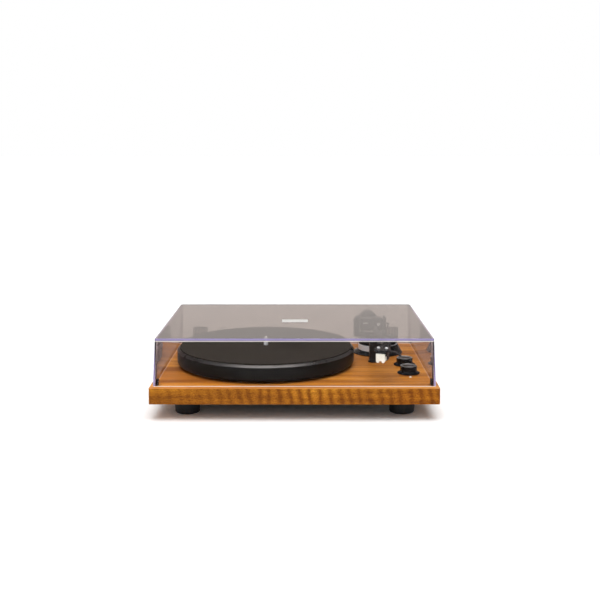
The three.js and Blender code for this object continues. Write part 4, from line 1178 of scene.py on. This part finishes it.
_, pillar_low, pillar_high = middle("arm_pillar")
round_part("arm_pillar", "pillar_tube", [
    (0, pillar_low.z),
    (9, pillar_low.z),
    (9, pillar_high.z),
    (3.3, pillar_high.z),
    (3.3, pillar_low.z + 2),
    (0, pillar_low.z + 2),
], arm_black, steps=64, edge=0.5)
softened("pillar_nut", "pillar_hex_nut", steel, edge=0.4)

skate_mid, skate_low, skate_high = middle("anti_skate_dial")
skate_radius = (skate_high.x - skate_low.x) / 2
DIAL_TEETH = 36


def fluted(radius, low, high, teeth, depth):
    """A dial whose edge is cut with upright flutes."""
    outline = []
    for index in range(teeth * 2):
        angle = math.pi * index / teeth
        reach = radius - (depth if index % 2 else 0)
        outline.append((reach * math.cos(angle), reach * math.sin(angle)))
    return sawn(outline, low, high, edge=0)


skate_edge = fluted(skate_radius, skate_low.z, skate_high.z - 0.5, DIAL_TEETH, 0.35)
skate_top = turned([
    (0, skate_high.z - 0.6),
    (skate_radius - 0.8, skate_high.z - 0.6),
    (skate_radius - 1.1, skate_high.z),
    (0, skate_high.z),
], steps=48, edge=0.15)
skate = moved(together(skate_edge, skate_top), upright(skate_mid.x, skate_mid.y))
piece("skate_dial", skate, "skate_control", "anti_skate_dial", black_plastic)
skate_line = block(
    (skate_mid.x - 0.4, skate_low.y + 1.2, skate_high.z - 0.05),
    (skate_mid.x + 0.4, skate_mid.y - 1, skate_high.z + 0.08), edge=0,
)
piece("skate_line", skate_line, "skate_control", None, white_print)
print("tonearm base made")

# %% [markdown]
# The armrest holds the parked arm in a saddle, with a clip that turns over it. The cue lever raises a
# curved bar that lifts the arm wherever it is. These small mouldings take their shape from the CAD parts,
# softened.

# %% Armrest, clip, lift and lever
for node, name, material, slot, edge in (
    ("armrest_post", "armrest", black_plastic, "black_plastic", 0.35),
    ("arm_clip", "rest_hook", black_plastic, "black_plastic", 0.25),
    ("cue_lift", "lift_arc", black_plastic, "black_plastic", 0.35),
    ("cue_lever", "lever_handle", arm_black, "arm_black", 0.35),
):
    softened(node, name, material, edge)
print("small mouldings made")

# %% [markdown]
# The arm is drawn straight along its own axis and then turned to where it is parked. Its frame comes from
# the joints: the tilt joint gives the pivot point and the sideways axis. In that frame -Y runs to the
# headshell and heights count from the pivot.

# %% The arm's own frame
pivot = Vector(joints["arm_tilt"]["pos_m"])
tilt_axis = Vector(joints["arm_tilt"]["axis"])
ARM_YAW = math.atan2(-tilt_axis.y, -tilt_axis.x)
ARM = Matrix.Translation(pivot) @ Matrix.Rotation(ARM_YAW, 4, "Z")
ARM_LENGTH = 186
HEADSHELL_TURN = math.radians(-22)
SHELL = ARM @ upright(0, -ARM_LENGTH) @ Matrix.Rotation(HEADSHELL_TURN, 4, "Z")
ALONG_ARM = ARM @ LAID_FORWARD  # +Z of a turned part runs to the headshell
BEHIND_ARM = ARM @ LAID_BACK  # +Z of a turned part runs to the counterweight
TUBE_RADIUS = 4.5
print("arm parked at", round(math.degrees(ARM_YAW), 2), "degrees")

# %% [markdown]
# The gimbal lets the arm swing and tilt. A yoke with two rounded cheeks turns on the pillar, and between
# the cheeks the bearing block hangs on two pins. A round screw head and a bright brushed inlay mark the
# block's front. The inlay is a painted highlight.

# %% Gimbal
softened("gimbal_yoke", "yoke_casting", black_plastic, edge=0.9, segments=3)
softened("yoke_spindle", "yoke_axle", steel, edge=0.3)
softened("bearing_block", "block_casting", arm_black, edge=0.6, segments=3)

BLOCK_FRONT = -9.5
block_screw = moved(cross_screw(2.8, 1.2), ARM @ upright(11.5, BLOCK_FRONT, 0) @ LAID_FORWARD)
piece("block_screw", block_screw, "tonearm", None, bright_steel)
# Painted highlight: a bright brushed inlay stands for a highlight on the dark block.
highlight_inlay = block((-16, -0.45, -1.3), (-7, 0.3, 1.3), edge=0.2)
highlight_inlay = moved(highlight_inlay, ARM @ upright(0, BLOCK_FRONT, 2.5))
piece("block_highlight_inlay", highlight_inlay, "tonearm", None, brushed)
for name, side, face in (("left", -1, 31), ("right", 1, 25)):
    cap = turned([(0, 0), (3.4, 0), (3.4, 1.0), (2.2, 1.6), (0, 1.6)], steps=48, edge=0.2)
    at = ARM @ upright(side * face, 0, 0) @ Matrix.Rotation(math.radians(90 * side), 4, "Y")
    piece("bearing_cap_" + name, moved(cap, at @ upright(0, 0, -0.9)), "arm_yoke", None, steel)
print("gimbal made")

# %% [markdown]
# The arm tube is drawn aluminium with a collar where it leaves the block. The headshell is a flat plate
# that widens from a round neck, turned inwards so that the stylus follows the groove.

# %% Tube, headshell and finger lift
tube = turned([
    (0, 4.3),
    (TUBE_RADIUS, 4.3),
    (TUBE_RADIUS, ARM_LENGTH),
    (TUBE_RADIUS - 1, ARM_LENGTH),
    (TUBE_RADIUS - 1, 40),
    (0, 40),
], steps=64, edge=0.2)
collar = turned([
    (TUBE_RADIUS + 0.02, 10),
    (TUBE_RADIUS + 1.6, 10),
    (TUBE_RADIUS + 1.6, 13),
    (TUBE_RADIUS + 0.9, 15.5),
    (TUBE_RADIUS + 0.02, 15.5),
], steps=64, edge=0.3)
piece("arm_tube_drawn", moved(tube, ALONG_ARM), "tonearm", "arm_tube", arm_black)
piece("arm_collar", moved(collar, ALONG_ARM), "tonearm", None, arm_black)

PLATE_LOW = 1
PLATE_HIGH = 4
SCREW_REACH = 30
SCREW_SPACING = 12.7


def headshell():
    outline = [
        (-4.5, 2),
        (-5, -7),
        *arc((-7.5, -20.5), 3, 150, 180, 3),
        (-10.5, -42),
        *arc((-7.5, -42), 3, 180, 270, 4),
        *arc((7.5, -42), 3, 270, 360, 4),
        (10.5, -20.5),
        *arc((7.5, -20.5), 3, 0, 30, 3),
        (5, -7),
        (4.5, 2),
    ]
    outline = [point for point, before in zip(outline, [None] + outline) if point != before]
    plate = moved(sawn(outline, PLATE_LOW, PLATE_HIGH, edge=0.7, segments=3), SHELL)
    neck = turned([
        (0, -3),
        (TUBE_RADIUS + 1.2, -3),
        (TUBE_RADIUS + 1.2, 6),
        *arc((0, 6), TUBE_RADIUS + 1.2, 12, 90, 5)[:-1],
        (0, 11),
    ], steps=64, edge=0.2)
    neck = moved(neck, SHELL @ LAID_FORWARD)
    sleeve = turned([
        (TUBE_RADIUS + 0.3, ARM_LENGTH - 14),
        (TUBE_RADIUS + 1.6, ARM_LENGTH - 14),
        (TUBE_RADIUS + 1.6, ARM_LENGTH + 1),
        (TUBE_RADIUS + 0.3, ARM_LENGTH + 1),
    ], steps=64, edge=0.4)
    rings = []
    for step in range(3):
        start = ARM_LENGTH - 12 + step * 3
        ring = turned([
            (TUBE_RADIUS + 1.5, start),
            (TUBE_RADIUS + 2.0, start),
            (TUBE_RADIUS + 2.0, start + 1.2),
            (TUBE_RADIUS + 1.5, start + 1.2),
        ], steps=64, edge=0.2)
        rings.append(moved(ring, ALONG_ARM))
    whole = together(plate, neck, moved(sleeve, ALONG_ARM), *rings)
    piece("headshell_plate", whole, "tonearm", "headshell", gloss_black)


headshell()

for side, name in ((-1, "left"), (1, "right")):
    head = PLATE_HIGH + 0.3
    screw = turned([
        (0, -1.5),
        (1.2, -1.5),
        (1.2, head),
        (2.4, head),
        (2.4, head + 1.1),
        *arc((0, head - 1.2), 3.7, 50, 90, 4)[:-1],
        (0, head + 1.8),
    ], steps=48, edge=0.12)
    at = SHELL @ upright(side * SCREW_SPACING / 2, -SCREW_REACH)
    node = "headshell_screw_" + name
    piece(f"shell_screw_{name}", moved(screw, at), "tonearm", node, bright_steel)

softened("finger_lift", "finger_tab", gloss_black, edge=0.3)
print("headshell made")

# %% [markdown]
# The cartridge hangs below the headshell: a black body with a rounded belly, and in front of it the ivory
# holder of the stylus, which pulls off when the needle is worn. Its lower edge has a notch over the
# needle.

# %% Cartridge and stylus
def cartridge():
    upper = block((-8.5, -40, -6), (8.5, -14, 0.7), edge=0.6, corner=1.5)
    lower = block((-7.5, -31, -14.5), (7.5, -14, -5.5), edge=0.6, corner=2.5)
    shell = moved(together(upper, lower), SHELL)
    piece("cartridge_shell", shell, "tonearm", "cartridge_body", black_plastic)
    for index in range(4):
        x = -4.5 + index * 3
        pin = turned([(0, 0), (0.6, 0), (0.6, 5), (0, 5)], steps=16, edge=0.1)
        at = SHELL @ upright(x, -14, -3) @ LAID_BACK
        piece(f"cartridge_pin_{index + 1}", moved(pin, at), "tonearm", None, brass)


def stylus():
    low, high = -15.3, -6.3
    brow = -1.5  # the front plate rises before the cartridge
    outline = [
        (-7, low + 2),
        (-5.4, low),
        (-2.2, low),
        (-2.2, low + 2.6),
        (2.2, low + 2.6),
        (2.2, low),
        (5.4, low),
        (7, low + 2),
        (7, brow),
        (-7, brow),
    ]
    front = sawn(outline, 0, 4, edge=0.5)
    front = moved(front, upright(0, -40.6, 0) @ LAID_FORWARD)
    back = block((-7, -40.8, low + 2.2), (7, -31.6, high), edge=0.5)
    rod = turned([(0, 0), (0.35, 0), (0.3, 6), (0, 6)], steps=16, edge=0)
    rod = moved(rod, upright(0, -32, low + 1.6) @ Matrix.Rotation(math.radians(105), 4, "X"))
    tip = turned([(0, -0.75), (0.12, -0.5), (0.22, 0.6), (0, 0.6)], steps=16, edge=0)
    tip = moved(tip, upright(0, -37.6, low + 0.2))
    holder = moved(together(front, back), SHELL)
    piece("stylus_holder", holder, "tonearm", "stylus", ivory)
    piece("stylus_needle", moved(together(rod, tip), SHELL), "tonearm", None, steel)


cartridge()
stylus()
print("cartridge made")

# %% [markdown]
# Behind the pivot a stub carries the tracking dial and the counterweight. The dial has a scale of white
# strokes with no figures. The weight has a knurled band for the fingers and a hollow back.

# %% Counterweight and dial
WEIGHT_RADIUS = 16
WEIGHT_FRONT = 31.3
WEIGHT_REAR = 57
stub = turned([(0, 4.3), (3, 4.3), (3, 60), (0, 60)], steps=48, edge=0.4)
piece("stub_rod", moved(stub, BEHIND_ARM), "tonearm", "rear_stub", steel)

dial = turned([(3.3, 26), (13, 26), (15, 31), (3.3, 31)], steps=96, edge=0.3)
piece("dial_ring", moved(dial, BEHIND_ARM), "tracking_dial", "force_dial", black_plastic)
STROKE_COUNT = 40
STROKE_LEAN = upright(0, 14, 28.5) @ Matrix.Rotation(math.atan2(2, 5), 4, "X")  # onto the dial's slant
strokes = []
for index in range(STROKE_COUNT):
    angle = 2 * math.pi * index / STROKE_COUNT
    start = -1.8 if index % 4 == 0 else -1.0
    stroke = block((-0.18, -0.05, start), (0.18, 0.1, 1.6), edge=0)
    strokes.append(moved(stroke, BEHIND_ARM @ Matrix.Rotation(angle, 4, "Z") @ STROKE_LEAN))
piece("dial_strokes", together(*strokes), "tracking_dial", None, white_print)

KNURL_TEETH = 90
grip = fluted(WEIGHT_RADIUS, 44, 54.5, KNURL_TEETH, 0.35)
body = turned([
    (3.3, WEIGHT_FRONT),
    (WEIGHT_RADIUS - 1, WEIGHT_FRONT),
    (WEIGHT_RADIUS, WEIGHT_FRONT + 1),
    (WEIGHT_RADIUS, 43.2),
    (WEIGHT_RADIUS - 0.6, 43.8),
    (WEIGHT_RADIUS - 0.6, 54.8),
    (WEIGHT_RADIUS - 2, WEIGHT_REAR),
    (12, WEIGHT_REAR),
    (12, WEIGHT_REAR - 14.5),
    (3.3, WEIGHT_REAR - 14.5),
], steps=128, edge=0.3)
weight = moved(together(body, grip), BEHIND_ARM)
piece("weight_body", weight, "balance_weight", "counterweight", weight_black)
print("counterweight made")

# %% [markdown]
# The back carries the sockets. The panel is painted sheet metal, the two jacks have white and red rings,
# and four sprung terminals take bare speaker wire. The power inlet is a plain barrel.

# %% Rear panel and sockets
softened("rear_panel", "back_plate", panel_paint, edge=0.25)
panel_mid, panel_low, panel_high = middle("rear_panel")
for side, colour in (("left", white_print), ("right", red_plastic)):
    mid, low, high = middle("rca_jack_" + side)
    face = panel_high.y + 0.3
    jack = turned([
        (0, low.y),
        (4.4, low.y),
        (4.4, face),
        (6.4, face),
        (6.4, face + 1.4),
        (4.1, face + 1.4),
        (4.1, high.y),
        (3.2, high.y),
        (3.2, face + 1.6),
        (0, face + 1.6),
    ], steps=64, edge=0.15)
    at = upright(mid.x, 0, mid.z) @ LAID_BACK
    piece(f"jack_{side}_shell", moved(jack, at), "chassis", "rca_jack_" + side, silver)
    core = turned([
        (1.6, face + 1.7),
        (3.1, face + 1.7),
        (3.1, high.y - 0.8),
        (1.6, high.y - 0.8),
    ], steps=48, edge=0.15)
    piece(f"jack_{side}_core", moved(core, at), "chassis", None, colour)

softened("speaker_terminals", "terminal_block", black_plastic, edge=0.3)
terminal_mid, _, terminal_high = middle("speaker_terminals")
for index, step in enumerate((-1.5, -0.5, 0.5, 1.5)):
    x = terminal_mid.x + step * 10.5
    low = (x - 3.4, terminal_high.y - 0.4, terminal_mid.z + 0.6)
    high = (x + 3.4, terminal_high.y + 1.6, terminal_mid.z + 4.4)
    colour = red_plastic if index % 2 else black_plastic
    tab = block(low, high, edge=0.5)
    piece(f"terminal_tab_{index + 1}", tab, "chassis", None, colour)

softened("dc_inlet", "inlet_barrel", black_plastic, edge=0.2)
for index, side in enumerate((-1, 1)):
    x = panel_mid.x + side * ((panel_high.x - panel_low.x) / 2 - 6)
    screw = moved(cross_screw(2.4, 1.2), upright(x, panel_high.y + 0.05, panel_mid.z) @ LAID_BACK)
    piece(f"panel_screw_{index + 1}", screw, "chassis", None, steel)
print("rear panel made")

# %% [markdown]
# The amplifier board is a green laminate with its heat sink, chip and two capacitors. It lies inside the
# plinth, so plain softened blocks are enough.

# %% Amplifier board
softened("amplifier_board", "circuit_board", board_green, edge=0.15)
print("amplifier board made")

# %% Count of pieces
print("pieces made:", len(made))
